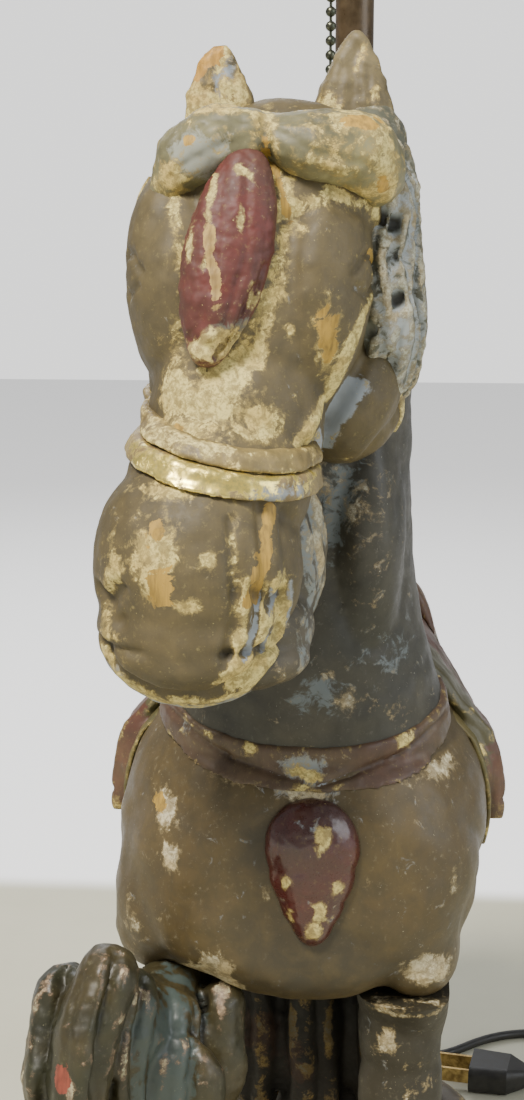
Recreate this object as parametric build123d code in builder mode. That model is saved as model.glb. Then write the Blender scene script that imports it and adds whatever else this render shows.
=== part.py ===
"""A carved and painted carousel-style horse on an oval plinth, drilled through and wired as a table lamp.

Millimetres. +Z is up, the horse looks towards -Y and its left side is +X. The origin is the middle of
the plinth's underside. A threaded lamp rod runs from a nut in the plinth, through the carved support,
the trunk and the saddle, to a pull-chain socket above the horse's head.
"""

from build123d import *
from math import atan2, cos, degrees, pi, radians, sin, tan
import os

# ---- plinth ----
plinth_half_width = 85.0
plinth_half_length = 152.0
plinth_top = 26.0
plinth_edge = 5.0            # rounding of the top edge
plinth_lip = 0.6             # the rim stops this far above the table
cover_thick = 2.4
cover_inset = 6.0            # from the plinth's outline to the cover's
cover_gap = 0.3
cover_screw_radius = 1.6
cover_screw_head = 3.2
cover_screw_length = 12.0
cover_screw_edge = 7.0       # from the cover's outline to a screw
pocket_radius = 22.0
pocket_roof = 18.0
channel_width = 9.0
channel_height = 9.0

# ---- lamp rod and what threads on it ----
rod_x = 12.0                 # the rod stands beside the spine
rod_y = 0.0
rod_radius = 4.8
rod_wall = 1.5
rod_foot = 10.5
rod_entry = 7.5              # how far the rod's top stands above the check ring
thread_gap = 0.05
drill_gap = 0.4              # round the rod, in the wood
nut_across_flats = 14.0
nut_thick = 5.0
washer_radius = 10.0
washer_thick = 1.5
sleeve_gap = 0.3             # round the rod, in the sleeve
sleeve_wall = 0.9
sleeve_radius = rod_radius + sleeve_gap + sleeve_wall
ferrule_radius = 11.0
ferrule_height = 6.5
seat_height = 264.5          # flat spot on the saddle where the ferrule sits
fit_gap = 0.15

# ---- trunk: distance back, middle height, half width, half height ----
trunk_stations = [
    (-88, 197, 27, 24),
    (-83, 197, 42, 36),
    (-66, 202, 54, 47),
    (-22, 209, 55, 53),
    (20, 210, 46, 51),
    (52, 210, 43, 49),
    (92, 209, 48, 50),
    (126, 206, 40, 42),
    (141, 205, 25, 27),
]
# ---- neck: height, distance back, half width, half depth ----
neck_stations = [
    (216, -48, 44, 33),
    (240, -49, 44, 34),
    (262, -53, 38, 31),
    (300, -57, 32, 26),
    (350, -62, 31, 26),
    (392, -62, 27, 22),
    (410, -62, 20, 16),
]
# ---- head: height, sideways, distance back, half width, half depth ----
head_turn = -12.0            # the horse looks a little to its right
head_stations = [
    (420, -4, -84, 15, 11),
    (412, -5, -85, 28, 20),
    (397, -7, -88, 33, 26),
    (378, -11, -91, 34, 29),
    (356, -14, -95, 31, 30),
    (336, -17, -102, 24, 28),
    (318, -20, -110, 27, 28),
    (297, -23, -116, 30, 29),
    (280, -24, -117, 28, 27),
    (266, -25, -117, 15, 17),
]
mouth_gap = 1.6
mouth_top = 322.0
mouth_back = -99.0           # where the mouth ends, at its top
mouth_front = -142.0         # where the lips part, at the chin
chin_height = 265.0
chin_drop = 12.0             # the cutting shape runs this far below the chin
head_reach = 120.0           # and this far to each side

# ---- carved pieces applied to the horse ----
strap_thick = 2.4
noseband_height = 11.0
noseband_middle = 330.0
nose_strap_height = 7.0
noseband_tilt = 10.0
collar_height = 11.0
collar_tilt = 19.0
collar_front = 231.0
drop_half_width = 14.0
drop_length = 47.0
drop_top = 224.0
drop_thick = 6.5
drop_root = 10.0             # how deep its outline runs into the chest before it is trimmed to it
drop_x = 4.0
plume_half_width = 12.0
plume_length = 56.0
plume_thick = 8.0
plume_root = 12.0            # how deep its outline runs into the brow before it is trimmed to it
plume_middle = (-17, -119, 382)
blanket_thick = 1.6
saddle_thick = 5.5
saddle_front = -36.0
saddle_back = 52.0
saddle_skirt = 201.0
blanket_margin = 6.0         # the blanket shows this far past the saddle
cantle_thick = 9.0
cantle_half_width = 43.0
cantle_height = 278.0
girth_width = 16.0
girth_front = 16.0
pommel_back = -13.0
pommel_thick = 7.0
pommel_height = 282.0
cheek_strap_width = 9.0
cheek_strap_length = 48.0

# ---- legs ----
hoof_radius = 13.0
dowel_radius = 4.0
dowel_length = 36.0
dowel_gap = 0.1
dowel_places = {             # each dowel's middle and direction
    "neck": ((-14, -48, 250), (0, 0, 1)),
    "head": ((-8, -90, 366), (-0.2, -1, -0.1)),
    "foreleg_left": ((34, -60, 164), (0, 0, 1)),
    "foreleg_right": ((-37, -68, 171), (0.1, 0.25, 1)),
    "hind_leg_left": ((36, 97, 180), (0, 0, 1)),
    "hind_leg_right": ((-36, 87, 180), (0, 0, 1)),
}
standing_legs = ["foreleg_left", "hind_leg_left", "hind_leg_right"]
hoof_spots = [(36, -66), (38, 102), (-38, 72)]
hoof_screw_radius = 2.0
hoof_screw_head = 4.0
hoof_screw_head_thick = 1.6
hoof_screw_sink = 6.0
hoof_screw_length = 34.0
support_x = 9.0
support_y = -8.0

# ---- socket, measured up from its foot ----
socket_foot = 472.0
ring_thick = 4.0
ring_radius = 9.5
cap_wall = 0.8
cap_radius = 17.6
cap_height = 14.0
shell_wall = 0.6
shell_low = 13.0
shell_high = 63.0
liner_wall = 0.8
insulator_low = 17.0
insulator_high = 40.0
switch_height = 29.0         # the switch axle
switch_well_x = (-7.0, 15.0)
switch_well_y = 8.0
switch_well_z = (switch_height - 8.5, switch_height + 7.0)
axle_radius = 1.0
axle_gap = 0.06
rotor_radius = 5.0
rotor_y = (1.7, 7.0)
lever_half_thick = 1.2
chain_clear = 3.9            # from the cap's outside to the chain
lever_reach = cap_radius + chain_clear
spring_radius = 2.4
spring_wire = 0.5
spring_turns = 3
spring_length = 4.6
bulb_cap_radius = 13.0
bulb_cap_height = 26.0
bulb_cap_play = 0.3          # round the bulb's cap, in the screw shell
screw_shell_wall = 0.4
screw_shell_radius = bulb_cap_radius + bulb_cap_play + screw_shell_wall
contact_thick = 0.8
contact_gap = 0.2
bulb_seat = insulator_high + contact_thick + contact_gap
bulb_glass_radius = 30.0
bulb_length = 107.0
bulb_wall = 0.8

lever_slot_half = 2.8
lever_hub_radius = 2.8
lever_tip_half = 2.8
axle_half = 10.0
hub_radius = 7.5
hub_high = 2.0
set_screw_height = 8.0
set_screw_radius = 1.4
terminal_spots = [(-9.0, 7.5), (-9.0, -7.5)]
terminal_radius = 1.5
terminal_depth = 3.0
terminal_head_radius = 2.8
terminal_head_thick = 1.8

# ---- pull chain ----
chain_yoke = 7.0             # from the top bead to the next
bead_radius = 1.6
bead_pitch = 4.2
link_radius = 0.45
bead_count = 20
guide_bore = bead_radius + 1.2
guide_wall = 0.6
guide_low = 9.0
bell_radius = 3.6
bell_height = 11.0
chain_turn = degrees(atan2(-20.4, -6.7))   # the way that the chain side of the socket faces

# ---- cord ----
cord_radius = 2.0
bushing_flange = 3.0
bushing_radius = 4.4
exit_height = 6.0
coil_middle_radius = 22.0
coil_across = 8.0            # half the width of the wound turns
coil_high = 13.0
coil_x, coil_y = 168.0, 176.0
plug_x, plug_y = 92.0, 157.0   # the middle of the plug's back
plug_turn = 170.0            # the way the plug's blades point
plug_half_width = 12.0
plug_length = 26.0
plug_high = 12.0
plug_lead = 17.0             # the cord's last run, straight into the plug
plug_cord_height = plug_high / 2 + 0.1
blade_spacing = 12.7
blade_width = 6.3
blade_thick = 1.5
blade_length = 17.0
inner_bend = 5.0
wire_split = 4.0             # where the cord parts into two wires, above the socket's foot
wire_radius = 0.8
wire_bend = 1.6
wire_apart = 1.05            # from the rod's axis to each wire

far = 400.0                  # past the whole horse, for cutting boxes

os.makedirs("parts", exist_ok=True)
written = []


def save(piece, label):
    """Names a finished piece and writes its STEP file."""
    piece.label = label
    export_step(piece, f"parts/{label}.step")
    written.append(label)


def at(y):
    """An upright plane across the horse at distance y back."""
    return Plane.XZ.offset(-y)


def trunk(margin=0.0):
    """The trunk's skin, grown by margin."""
    with BuildPart() as skin:
        for y, z, wide, high in trunk_stations:
            with BuildSketch(at(y)):
                with Locations((0, z)):
                    Ellipse(wide + margin, high + margin)
        loft()
    return skin.part


def neck(margin=0.0):
    """The neck's skin, grown by margin."""
    with BuildPart() as skin:
        for z, y, wide, deep in neck_stations:
            with BuildSketch(Plane.XY.offset(z)):
                with Locations((0, y)):
                    Ellipse(wide + margin, deep + margin)
        loft()
    return skin.part


def head(margin=0.0):
    """The head's skin, grown by margin."""
    with BuildPart() as skin:
        for z, x, y, wide, deep in head_stations:
            with BuildSketch(Plane.XY.offset(z)):
                with Locations((x, y)):
                    Ellipse(wide + margin, deep + margin, rotation=head_turn)
        loft()
    return skin.part


def limb(stations):
    """A limb through ovals: (middle, direction, half width, half depth) for each."""
    with BuildPart() as flesh:
        for middle, direction, wide, deep in stations:
            with BuildSketch(Plane(origin=middle, x_dir=(1, 0, 0), z_dir=direction)):
                Ellipse(wide, deep)
        loft()
    return flesh.part


def egg(middle, half_sizes, turn=0.0):
    """An ellipsoid about middle, turned about the upright through it."""
    ball = scale(Sphere(1.0, mode=Mode.PRIVATE), by=half_sizes, mode=Mode.PRIVATE)
    return ball.rotate(Axis.Z, turn).translate(middle)


trunk_skin = trunk()
neck_skin = neck()
head_skin = head()
rod_plane = Plane(origin=(rod_x, rod_y, 0))
socket = Plane(
    origin=(rod_x, rod_y, socket_foot),
    x_dir=(cos(radians(chain_turn)), sin(radians(chain_turn)), 0),
    z_dir=(0, 0, 1),
)


def drill(*names):
    """Bores the dowel holes of the named joints in the piece being made."""
    for name in names:
        middle, direction = dowel_places[name]
        with BuildSketch(Plane(origin=middle, z_dir=direction)) as hole:
            Circle(dowel_radius + dowel_gap)
        extrude(hole.sketch, amount=dowel_length / 2 + dowel_gap, both=True, mode=Mode.SUBTRACT)


def bore(radius, low, high, plane=rod_plane):
    """Bores a round hole up the lamp rod's axis in the piece being made."""
    with BuildSketch(plane.offset(low)) as hole:
        Circle(radius)
    extrude(hole.sketch, amount=high - low, mode=Mode.SUBTRACT)


def drop(half_width, length):
    """A leaf outline, its point at the bottom."""
    with BuildSketch() as leaf:
        with BuildLine():
            side = Bezier((0, -length / 2), (0.9 * half_width, -0.3 * length),
                          (1.6 * half_width, length / 2), (0, length / 2))
            mirror(side, about=Plane.YZ)
        make_face()
    return leaf.sketch


def keep(low, high):
    """Keeps what lies between two corners of the piece being made."""
    middle = tuple((a + b) / 2 for a, b in zip(low, high))
    with Locations(middle):
        Box(*[b - a for a, b in zip(low, high)], mode=Mode.INTERSECT)


# ================= plinth =================
cover_wide = plinth_half_width - cover_inset
cover_long = plinth_half_length - cover_inset
screw_spots = [
    (side * (cover_wide - cover_screw_edge) * cos(radians(48)),
     end * (cover_long - cover_screw_edge) * sin(radians(48)))
    for side in (-1, 1)
    for end in (-1, 1)
]
with BuildPart() as plinth:
    with BuildSketch(Plane.XY.offset(plinth_lip)):
        Ellipse(plinth_half_width, plinth_half_length)
    extrude(amount=plinth_top - plinth_lip)
    fillet(plinth.edges().group_by(Axis.Z)[-1], plinth_edge)
    with BuildSketch():
        Ellipse(cover_wide + cover_gap, cover_long + cover_gap)
    extrude(amount=cover_thick, mode=Mode.SUBTRACT)
    bore(pocket_radius, 0, pocket_roof)
    bore(rod_radius + drill_gap, 0, plinth_top)
    with BuildSketch(rod_plane):
        with Locations((0, plinth_half_length / 2)):
            Rectangle(channel_width, plinth_half_length + channel_width)
    extrude(amount=exit_height + channel_height / 2, mode=Mode.SUBTRACT)
    with Locations(*[(x, y, cover_thick) for x, y in screw_spots]):
        Cylinder(cover_screw_radius, cover_screw_length - cover_thick,
                 align=(Align.CENTER, Align.CENTER, Align.MIN), mode=Mode.SUBTRACT)
    with Locations(*[(x, y, cover_thick) for x, y in hoof_spots]):
        Cylinder(hoof_screw_radius + fit_gap, plinth_top,
                 align=(Align.CENTER, Align.CENTER, Align.MIN), mode=Mode.SUBTRACT)
        Cylinder(hoof_screw_head + fit_gap, hoof_screw_sink,
                 align=(Align.CENTER, Align.CENTER, Align.MIN), mode=Mode.SUBTRACT)
save(plinth.part, "plinth")

with BuildPart() as bottom_cover:
    with BuildSketch():
        Ellipse(cover_wide, cover_long)
    extrude(amount=cover_thick)
    with Locations(*[(x, y, 0) for x, y in screw_spots]):
        Cylinder(cover_screw_radius + cover_gap, cover_thick,
                 align=(Align.CENTER, Align.CENTER, Align.MIN), mode=Mode.SUBTRACT)
        Cone(cover_screw_head + cover_gap, cover_screw_radius + cover_gap, cover_thick - 0.6,
             align=(Align.CENTER, Align.CENTER, Align.MIN), mode=Mode.SUBTRACT)
save(bottom_cover.part, "bottom_cover")

with BuildPart() as cover_screws:
    with Locations(*[(x, y, 0.3) for x, y in screw_spots]):
        Cylinder(cover_screw_radius - thread_gap, cover_screw_length - 0.4,
                 align=(Align.CENTER, Align.CENTER, Align.MIN))
        Cone(cover_screw_head - 0.3, cover_screw_radius - thread_gap, cover_thick - 0.9,
             align=(Align.CENTER, Align.CENTER, Align.MIN))
save(cover_screws.part, "cover_screws")

with BuildPart() as hoof_screws:
    with Locations(*[(x, y, cover_thick + hoof_screw_sink - hoof_screw_head_thick) for x, y in hoof_spots]):
        Cylinder(hoof_screw_head, hoof_screw_head_thick,
                 align=(Align.CENTER, Align.CENTER, Align.MIN))
        Cylinder(hoof_screw_radius, hoof_screw_length,
                 align=(Align.CENTER, Align.CENTER, Align.MIN))
save(hoof_screws.part, "hoof_screws")

# ================= trunk and support =================
support_skin = limb([
    ((support_x, support_y, plinth_top), (0, 0, 1), 30, 36),
    ((support_x - 1, support_y, 60), (0, 0, 1), 23, 29),
    ((support_x, support_y, 110), (0, 0, 1), 21, 27),
    ((support_x, support_y, 150), (0, 0, 1), 25, 33),
    ((support_x, support_y, 178), (0, 0, 1), 27, 36),
])
with BuildPart() as support:
    add(support_skin)
    add(trunk_skin, mode=Mode.SUBTRACT)
    bore(rod_radius + drill_gap, 0, far)
save(support.part, "support")

for label, side in (("trunk_left", 1), ("trunk_right", -1)):
    with BuildPart() as half:
        add(trunk_skin)
        with Locations((side * far / 2, 0, 0)):
            Box(far, 2 * far, 2 * far, mode=Mode.INTERSECT)
        if side > 0:
            bore(rod_radius + drill_gap, 0, far)
            drill("foreleg_left", "hind_leg_left")
        else:
            drill("foreleg_right", "hind_leg_right", "neck")
    save(half.part, label)

# ================= neck and head =================
with BuildPart() as neck_piece:
    add(neck_skin)
    add(trunk_skin, mode=Mode.SUBTRACT)
    drill("neck", "head")
save(neck_piece.part, "neck")


def mouth_side(gap):
    """The space behind the mouth's slanting slit, gap away from its middle line."""
    with BuildPart() as region:
        with BuildSketch(Plane.YZ):
            with BuildLine():
                Polyline((mouth_back - gap, mouth_top), (mouth_front - gap, chin_height),
                         (mouth_front - gap - 10, chin_height - chin_drop), (0, chin_height - chin_drop),
                         (0, mouth_top), close=True)
            make_face()
        extrude(amount=head_reach, both=True)
    return region.part


with BuildPart() as head_piece:
    add(head_skin)
    add(neck_skin, mode=Mode.SUBTRACT)
    add(mouth_side(mouth_gap), mode=Mode.SUBTRACT)
    drill("head")
save(head_piece.part, "head")

with BuildPart() as lower_jaw:
    add(head_skin)
    add(mouth_side(0), mode=Mode.INTERSECT)
    add(neck_skin, mode=Mode.SUBTRACT)
save(lower_jaw.part, "lower_jaw")

ear_skins = {
    "ear_right": limb([
        ((-24, -82, 404), (0, 0, 1), 9, 6),
        ((-23, -83, 418), (0, 0, 1), 10, 6),
        ((-21, -84, 429), (0, 0, 1), 7, 4.5),
        ((-20, -85, 437), (0, 0, 1), 3, 2),
    ]),
    "ear_left": limb([
        ((12, -74, 402), (0, 0, 1), 12, 8),
        ((13, -74, 418), (0, 0, 1), 12, 7.5),
        ((13, -73, 431), (0, 0, 1), 7.5, 5),
        ((12.5, -72, 442), (0, 0, 1), 2.2, 1.8),
    ]),
}
for label, ear_skin in ear_skins.items():
    with BuildPart() as ear:
        add(ear_skin)
        add(head_skin, mode=Mode.SUBTRACT)
        add(neck_skin, mode=Mode.SUBTRACT)
    save(ear.part, label)

with BuildPart() as forelock:
    add(egg((-23, -104, 403), (19, 13, 12), -20))
    add(egg((11, -101, 405), (20, 13, 12), 14))
    add(head_skin, mode=Mode.SUBTRACT)
    for ear_skin in ear_skins.values():
        add(ear_skin, mode=Mode.SUBTRACT)
save(forelock.part, "forelock")

with BuildPart() as mane:
    add(limb([
        ((24, -66, 412), (0.5, 0, -1), 7, 9),
        ((28, -70, 396), (0.2, 0, -1), 11, 13),
        ((27, -72, 372), (0, 0, -1), 13, 15),
        ((26, -68, 350), (0, 0, -1), 11, 13),
        ((25, -62, 334), (0, 0, -1), 6, 8),
    ]))
    add(head_skin, mode=Mode.SUBTRACT)
    add(neck_skin, mode=Mode.SUBTRACT)
    add(ear_skins["ear_left"], mode=Mode.SUBTRACT)
with BuildPart() as crest:
    add(limb([
        ((0, -50, 410), (0, 0.3, -1), 12, 9),
        ((2, -42, 388), (0, 0.2, -1), 14, 10),
        ((3, -38, 350), (0, 0.1, -1), 14, 10),
        ((2, -33, 305), (0, 0.3, -1), 13, 9),
        ((0, -25, 272), (0, 0.4, -1), 11, 8),
    ]))
    add(neck_skin, mode=Mode.SUBTRACT)
    add(head_skin, mode=Mode.SUBTRACT)
    add(trunk(blanket_thick + saddle_thick), mode=Mode.SUBTRACT)
    add(mane.part, mode=Mode.SUBTRACT)
save(Compound([*mane.solids(), *crest.solids()]), "mane")

# ================= bridle =================
strap_skin = head(strap_thick)
strap_step = (noseband_height + nose_strap_height) / 2 / cos(radians(noseband_tilt))
for label, middle, height in (
    ("noseband", noseband_middle, noseband_height),
    ("nose_strap", noseband_middle - strap_step, nose_strap_height),
):
    with BuildPart() as band:
        add(strap_skin)
        add(head_skin, mode=Mode.SUBTRACT)
        with Locations(Location((-18, -100, middle), (0, noseband_tilt, 0))):
            Box(far, far, height, mode=Mode.INTERSECT)
        add(neck_skin, mode=Mode.SUBTRACT)
    save(band.part, label)

with BuildPart() as cheek_straps:
    add(strap_skin)
    add(head_skin, mode=Mode.SUBTRACT)
    with Locations(Location((-16, -86, noseband_middle + 34), (-12, 0, 0))):
        Box(far, cheek_strap_width, cheek_strap_length, mode=Mode.INTERSECT)
    with Locations(Location((-18, -100, noseband_middle - 40 + noseband_height / 2), (0, noseband_tilt, 0))):
        Box(far, far, 80, mode=Mode.SUBTRACT)
    add(neck_skin, mode=Mode.SUBTRACT)
    add(mane.part, mode=Mode.SUBTRACT)
    add(forelock.part, mode=Mode.SUBTRACT)
save(cheek_straps.part, "cheek_straps")

plume_leaf = drop(plume_half_width, plume_length)
plume_plane = Plane(origin=plume_middle, x_dir=(1, 0, 0.14), z_dir=(-0.1, -1, 0.26))
with BuildPart() as plume:
    with BuildSketch(plume_plane.offset(-plume_root)):
        add(plume_leaf)
    extrude(amount=plume_root + plume_thick / 2)
    add(head_skin, mode=Mode.SUBTRACT)
    add(forelock.part, mode=Mode.SUBTRACT)
save(plume.part, "plume")

# ================= breast collar, saddle, girth =================
blanket_front = saddle_front - blanket_margin
blanket_back = saddle_back + blanket_margin
blanket_low = saddle_skirt - blanket_margin
with BuildPart() as collar:
    add(trunk(strap_thick))
    add(neck(strap_thick))
    with Locations(Location((0, -88, collar_front), (collar_tilt, 0, 0))):
        Box(far, far, collar_height, mode=Mode.INTERSECT)
    keep((-far, -far, 0), (far, blanket_front, far))
    add(trunk_skin, mode=Mode.SUBTRACT)
    add(neck_skin, mode=Mode.SUBTRACT)
save(collar.part, "breast_collar")

breast_leaf = drop(drop_half_width, drop_length)
breast_plane = Plane(origin=(drop_x, trunk_stations[0][0], drop_top - drop_length / 2),
                     x_dir=(1, 0, 0), z_dir=(0, -1, 0))
with BuildPart() as breast_drop:
    with BuildSketch(breast_plane.offset(-drop_root)):
        add(breast_leaf)
    extrude(amount=drop_root + drop_thick)
    add(trunk_skin, mode=Mode.SUBTRACT)
    add(collar.part, mode=Mode.SUBTRACT)
save(breast_drop.part, "breast_drop")

with BuildPart() as blanket:
    add(trunk(blanket_thick))
    keep((-far, blanket_front, blanket_low), (far, blanket_back, far))
    add(trunk_skin, mode=Mode.SUBTRACT)
    add(neck_skin, mode=Mode.SUBTRACT)
    bore(rod_radius + drill_gap, 0, far)
save(blanket.part, "saddle_blanket")

saddle_skin = trunk(blanket_thick + saddle_thick)
with BuildPart() as saddle:
    add(saddle_skin)
    keep((-far, saddle_front, saddle_skirt), (far, saddle_back, far))
    add(trunk(blanket_thick), mode=Mode.SUBTRACT)
    add(neck_skin, mode=Mode.SUBTRACT)
    bore(ferrule_radius + fit_gap, seat_height, far)
    bore(rod_radius + drill_gap, 0, far)
save(saddle.part, "saddle")

with BuildPart() as cantle:
    with BuildSketch(at(saddle_back)):
        with Locations((0, cantle_height - cantle_half_width)):
            Circle(cantle_half_width)
    extrude(amount=cantle_thick)
    fillet(cantle.edges().filter_by(GeomType.CIRCLE), 2.5)
    add(saddle_skin, mode=Mode.SUBTRACT)
save(cantle.part, "cantle")

with BuildPart() as pommel:
    with BuildSketch(at(pommel_back)):
        with Locations((0, pommel_height - 24)):
            Ellipse(15, 24)
    extrude(amount=pommel_thick)
    fillet(pommel.edges(), 2.0)
    add(saddle_skin, mode=Mode.SUBTRACT)
    add(neck_skin, mode=Mode.SUBTRACT)
    add(crest.part, mode=Mode.SUBTRACT)
save(pommel.part, "pommel")

with BuildPart() as girth:
    add(trunk(blanket_thick))
    keep((-far, girth_front, 0), (far, girth_front + girth_width, blanket_low))
    add(trunk_skin, mode=Mode.SUBTRACT)
    add(support_skin, mode=Mode.SUBTRACT)
save(girth.part, "girth")

# ================= legs and tail =================
leg_skins = {
    "foreleg_left": limb([
        ((34, -60, 178), (0, 0, 1), 15, 20),
        ((33, -61, 148), (0, 0, 1), 14, 17),
        ((34, -62, 118), (0, 0, 1), 10, 12),
        ((35, -63, 96), (0, 0, 1), 10.5, 12),
        ((36, -61, 66), (0, 0, 1), 7.5, 8.5),
        ((36, -63, 45), (0, 0, 1), 9.5, 10.5),
        ((36, -66, plinth_top), (0, 0, 1), hoof_radius, hoof_radius + 2),
    ]),
    "foreleg_right_upper": limb([
        ((-35, -60, 160), (-0.3, -1, 0.1), 14, 16),
        ((-46, -86, 163), (-0.4, -1, 0.1), 16, 16),
        ((-57, -108, 170), (-0.3, -1, -0.3), 18, 18),
        ((-60, -122, 158), (-0.1, -0.4, -1), 18, 15),
    ]),
    "foreleg_right_lower": limb([
        ((-60, -122, 158), (-0.1, -0.4, -1), 17, 14),
        ((-61, -126, 140), (0, 0.1, -1), 14, 12),
        ((-62, -120, 112), (0, 0.3, -1), 9.5, 9.5),
        ((-63, -110, 84), (0, 0.4, -1), 9, 9),
        ((-64, -104, 68), (0, 0.3, -1), 12, 13),
        ((-64, -102, 56), (0, 0.3, -1), 13, 14),
    ]),
    "hind_leg_left": limb([
        ((38, 96, 196), (0, 0, 1), 18, 30),
        ((42, 92, 162), (0, 0, 1), 17, 27),
        ((42, 102, 126), (0, 0, 1), 12, 16),
        ((41, 120, 98), (0, 0, 1), 9.5, 12),
        ((40, 118, 70), (0, 0, 1), 8.5, 10),
        ((39, 108, 47), (0, 0, 1), 9.5, 11),
        ((38, 102, plinth_top), (0, 0, 1), hoof_radius, hoof_radius + 2),
    ]),
    "hind_leg_right": limb([
        ((-38, 88, 196), (0, 0, 1), 18, 30),
        ((-42, 80, 162), (0, 0, 1), 17, 27),
        ((-42, 82, 126), (0, 0, 1), 12, 16),
        ((-41, 96, 98), (0, 0, 1), 9.5, 12),
        ((-40, 90, 70), (0, 0, 1), 8.5, 10),
        ((-39, 78, 47), (0, 0, 1), 9.5, 11),
        ((-38, 72, plinth_top), (0, 0, 1), hoof_radius, hoof_radius + 2),
    ]),
}
leg_dowels = {
    "foreleg_left": "foreleg_left",
    "foreleg_right_upper": "foreleg_right",
    "hind_leg_left": "hind_leg_left",
    "hind_leg_right": "hind_leg_right",
}
for label, leg_skin in leg_skins.items():
    with BuildPart() as leg:
        add(leg_skin)
        add(trunk_skin, mode=Mode.SUBTRACT)
        if label == "foreleg_right_lower":
            add(leg_skins["foreleg_right_upper"], mode=Mode.SUBTRACT)
        if label in leg_dowels:
            drill(leg_dowels[label])
        if label in standing_legs:
            with Locations((*hoof_spots[standing_legs.index(label)], plinth_top)):
                Cylinder(hoof_screw_radius, hoof_screw_length, mode=Mode.SUBTRACT)
    save(leg.part, label)

with BuildPart() as tail:
    add(limb([
        ((0, 132, 226), (0, 0.8, 0.6), 9, 8),
        ((0, 139, 214), (0, 0.7, -1), 12, 9),
        ((2, 141, 185), (0, 0, -1), 13, 9),
        ((4, 140, 150), (0, 0, -1), 12, 9),
        ((2, 138, 115), (0, 0, -1), 8, 7),
        ((0, 136, 92), (0, 0, -1), 3, 3),
    ]))
    add(trunk_skin, mode=Mode.SUBTRACT)
save(tail.part, "tail")

with BuildPart() as dowels:
    for middle, direction in dowel_places.values():
        with BuildSketch(Plane(origin=middle, z_dir=direction)):
            Circle(dowel_radius)
        extrude(amount=dowel_length / 2, both=True)
save(dowels.part, "dowels")

# ================= lamp rod =================
rod_top = socket_foot + ring_thick + rod_entry
with BuildPart() as lamp_rod:
    with BuildSketch(rod_plane.offset(rod_foot)):
        Circle(rod_radius)
        Circle(rod_radius - rod_wall, mode=Mode.SUBTRACT)
    extrude(amount=rod_top - rod_foot)
save(lamp_rod.part, "lamp_rod")

with BuildPart() as rod_washer:
    with BuildSketch(rod_plane.offset(pocket_roof - washer_thick)):
        Circle(washer_radius)
        Circle(rod_radius + thread_gap, mode=Mode.SUBTRACT)
    extrude(amount=washer_thick)
save(rod_washer.part, "rod_washer")

with BuildPart() as rod_nut:
    with BuildSketch(rod_plane.offset(pocket_roof - washer_thick - nut_thick)):
        RegularPolygon(nut_across_flats / 2, 6, major_radius=False)
        Circle(rod_radius + thread_gap, mode=Mode.SUBTRACT)
    extrude(amount=nut_thick)
    chamfer(rod_nut.faces().sort_by(Axis.Z)[-1].outer_wire().edges(), 0.5)
save(rod_nut.part, "rod_nut")

with BuildPart() as ferrule:
    with BuildSketch(rod_plane.offset(seat_height)):
        Circle(ferrule_radius)
    with BuildSketch(rod_plane.offset(seat_height + ferrule_height * 0.5)):
        Circle(ferrule_radius * 0.8)
    with BuildSketch(rod_plane.offset(seat_height + ferrule_height)):
        Circle(sleeve_radius + 0.8)
    loft(ruled=True)
    bore(rod_radius + fit_gap, seat_height, seat_height + ferrule_height)
save(ferrule.part, "saddle_ferrule")

with BuildPart() as sleeve:
    with BuildSketch(rod_plane.offset(seat_height + ferrule_height)):
        Circle(sleeve_radius)
        Circle(sleeve_radius - sleeve_wall, mode=Mode.SUBTRACT)
    extrude(amount=socket_foot - seat_height - ferrule_height)
save(sleeve.part, "rod_sleeve")

with BuildPart() as check_ring:
    with BuildSketch(socket):
        Circle(ring_radius)
        Circle(rod_radius + thread_gap, mode=Mode.SUBTRACT)
    extrude(amount=ring_thick)
    chamfer(check_ring.edges().filter_by(GeomType.CIRCLE).sort_by(SortBy.RADIUS)[-2:], 0.8)
save(check_ring.part, "check_ring")

# ================= socket =================
cap_top = ring_thick + cap_height
shell_radius = cap_radius - cap_wall - fit_gap
liner_radius = shell_radius - shell_wall - thread_gap
insulator_radius = liner_radius - liner_wall - thread_gap
slot_low = switch_well_z[0] - 1.0
slot_high = switch_height + lever_half_thick + 1.3


def lever_slot():
    """Cuts the lever's way out through the wall being made."""
    with BuildSketch(socket.offset(slot_low)) as slot:
        with Locations((cap_radius, 0)):
            Rectangle(12, 2 * lever_slot_half)
    extrude(slot.sketch, amount=slot_high - slot_low, mode=Mode.SUBTRACT)


with BuildPart() as socket_cap:
    with BuildSketch(socket.offset(ring_thick)):
        Circle(cap_radius)
    extrude(amount=cap_height)
    fillet(socket_cap.faces().sort_by(Axis.Z)[0].edges(), 3.0)
    bore(cap_radius - cap_wall, ring_thick + 4.0, cap_top + 1, socket)
    with BuildSketch(socket.offset(ring_thick + 4.0)):
        Circle(hub_radius)
    extrude(amount=hub_high)
    bore(rod_radius + thread_gap, 0, cap_top, socket)
    with BuildSketch(Plane(origin=socket.from_local_coords((0, 0, set_screw_height)), z_dir=-socket.x_dir)):
        Circle(set_screw_radius)
    extrude(amount=cap_radius, mode=Mode.SUBTRACT)
    with BuildSketch(socket.offset(guide_low)):
        with Locations(((cap_radius + lever_reach - cap_wall / 2) / 2, 0)):
            Rectangle(lever_reach - cap_radius + cap_wall / 2, 2.4)
    extrude(amount=cap_top - guide_low)
    with BuildSketch(socket.offset(guide_low)):
        with Locations((lever_reach, 0)):
            Circle(guide_bore + guide_wall)
    extrude(amount=cap_top - guide_low)
    with BuildSketch(socket.offset(guide_low)):
        with Locations((lever_reach, 0)):
            Circle(guide_bore)
    extrude(amount=cap_top - guide_low, mode=Mode.SUBTRACT)
save(socket_cap.part, "socket_cap")

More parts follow.
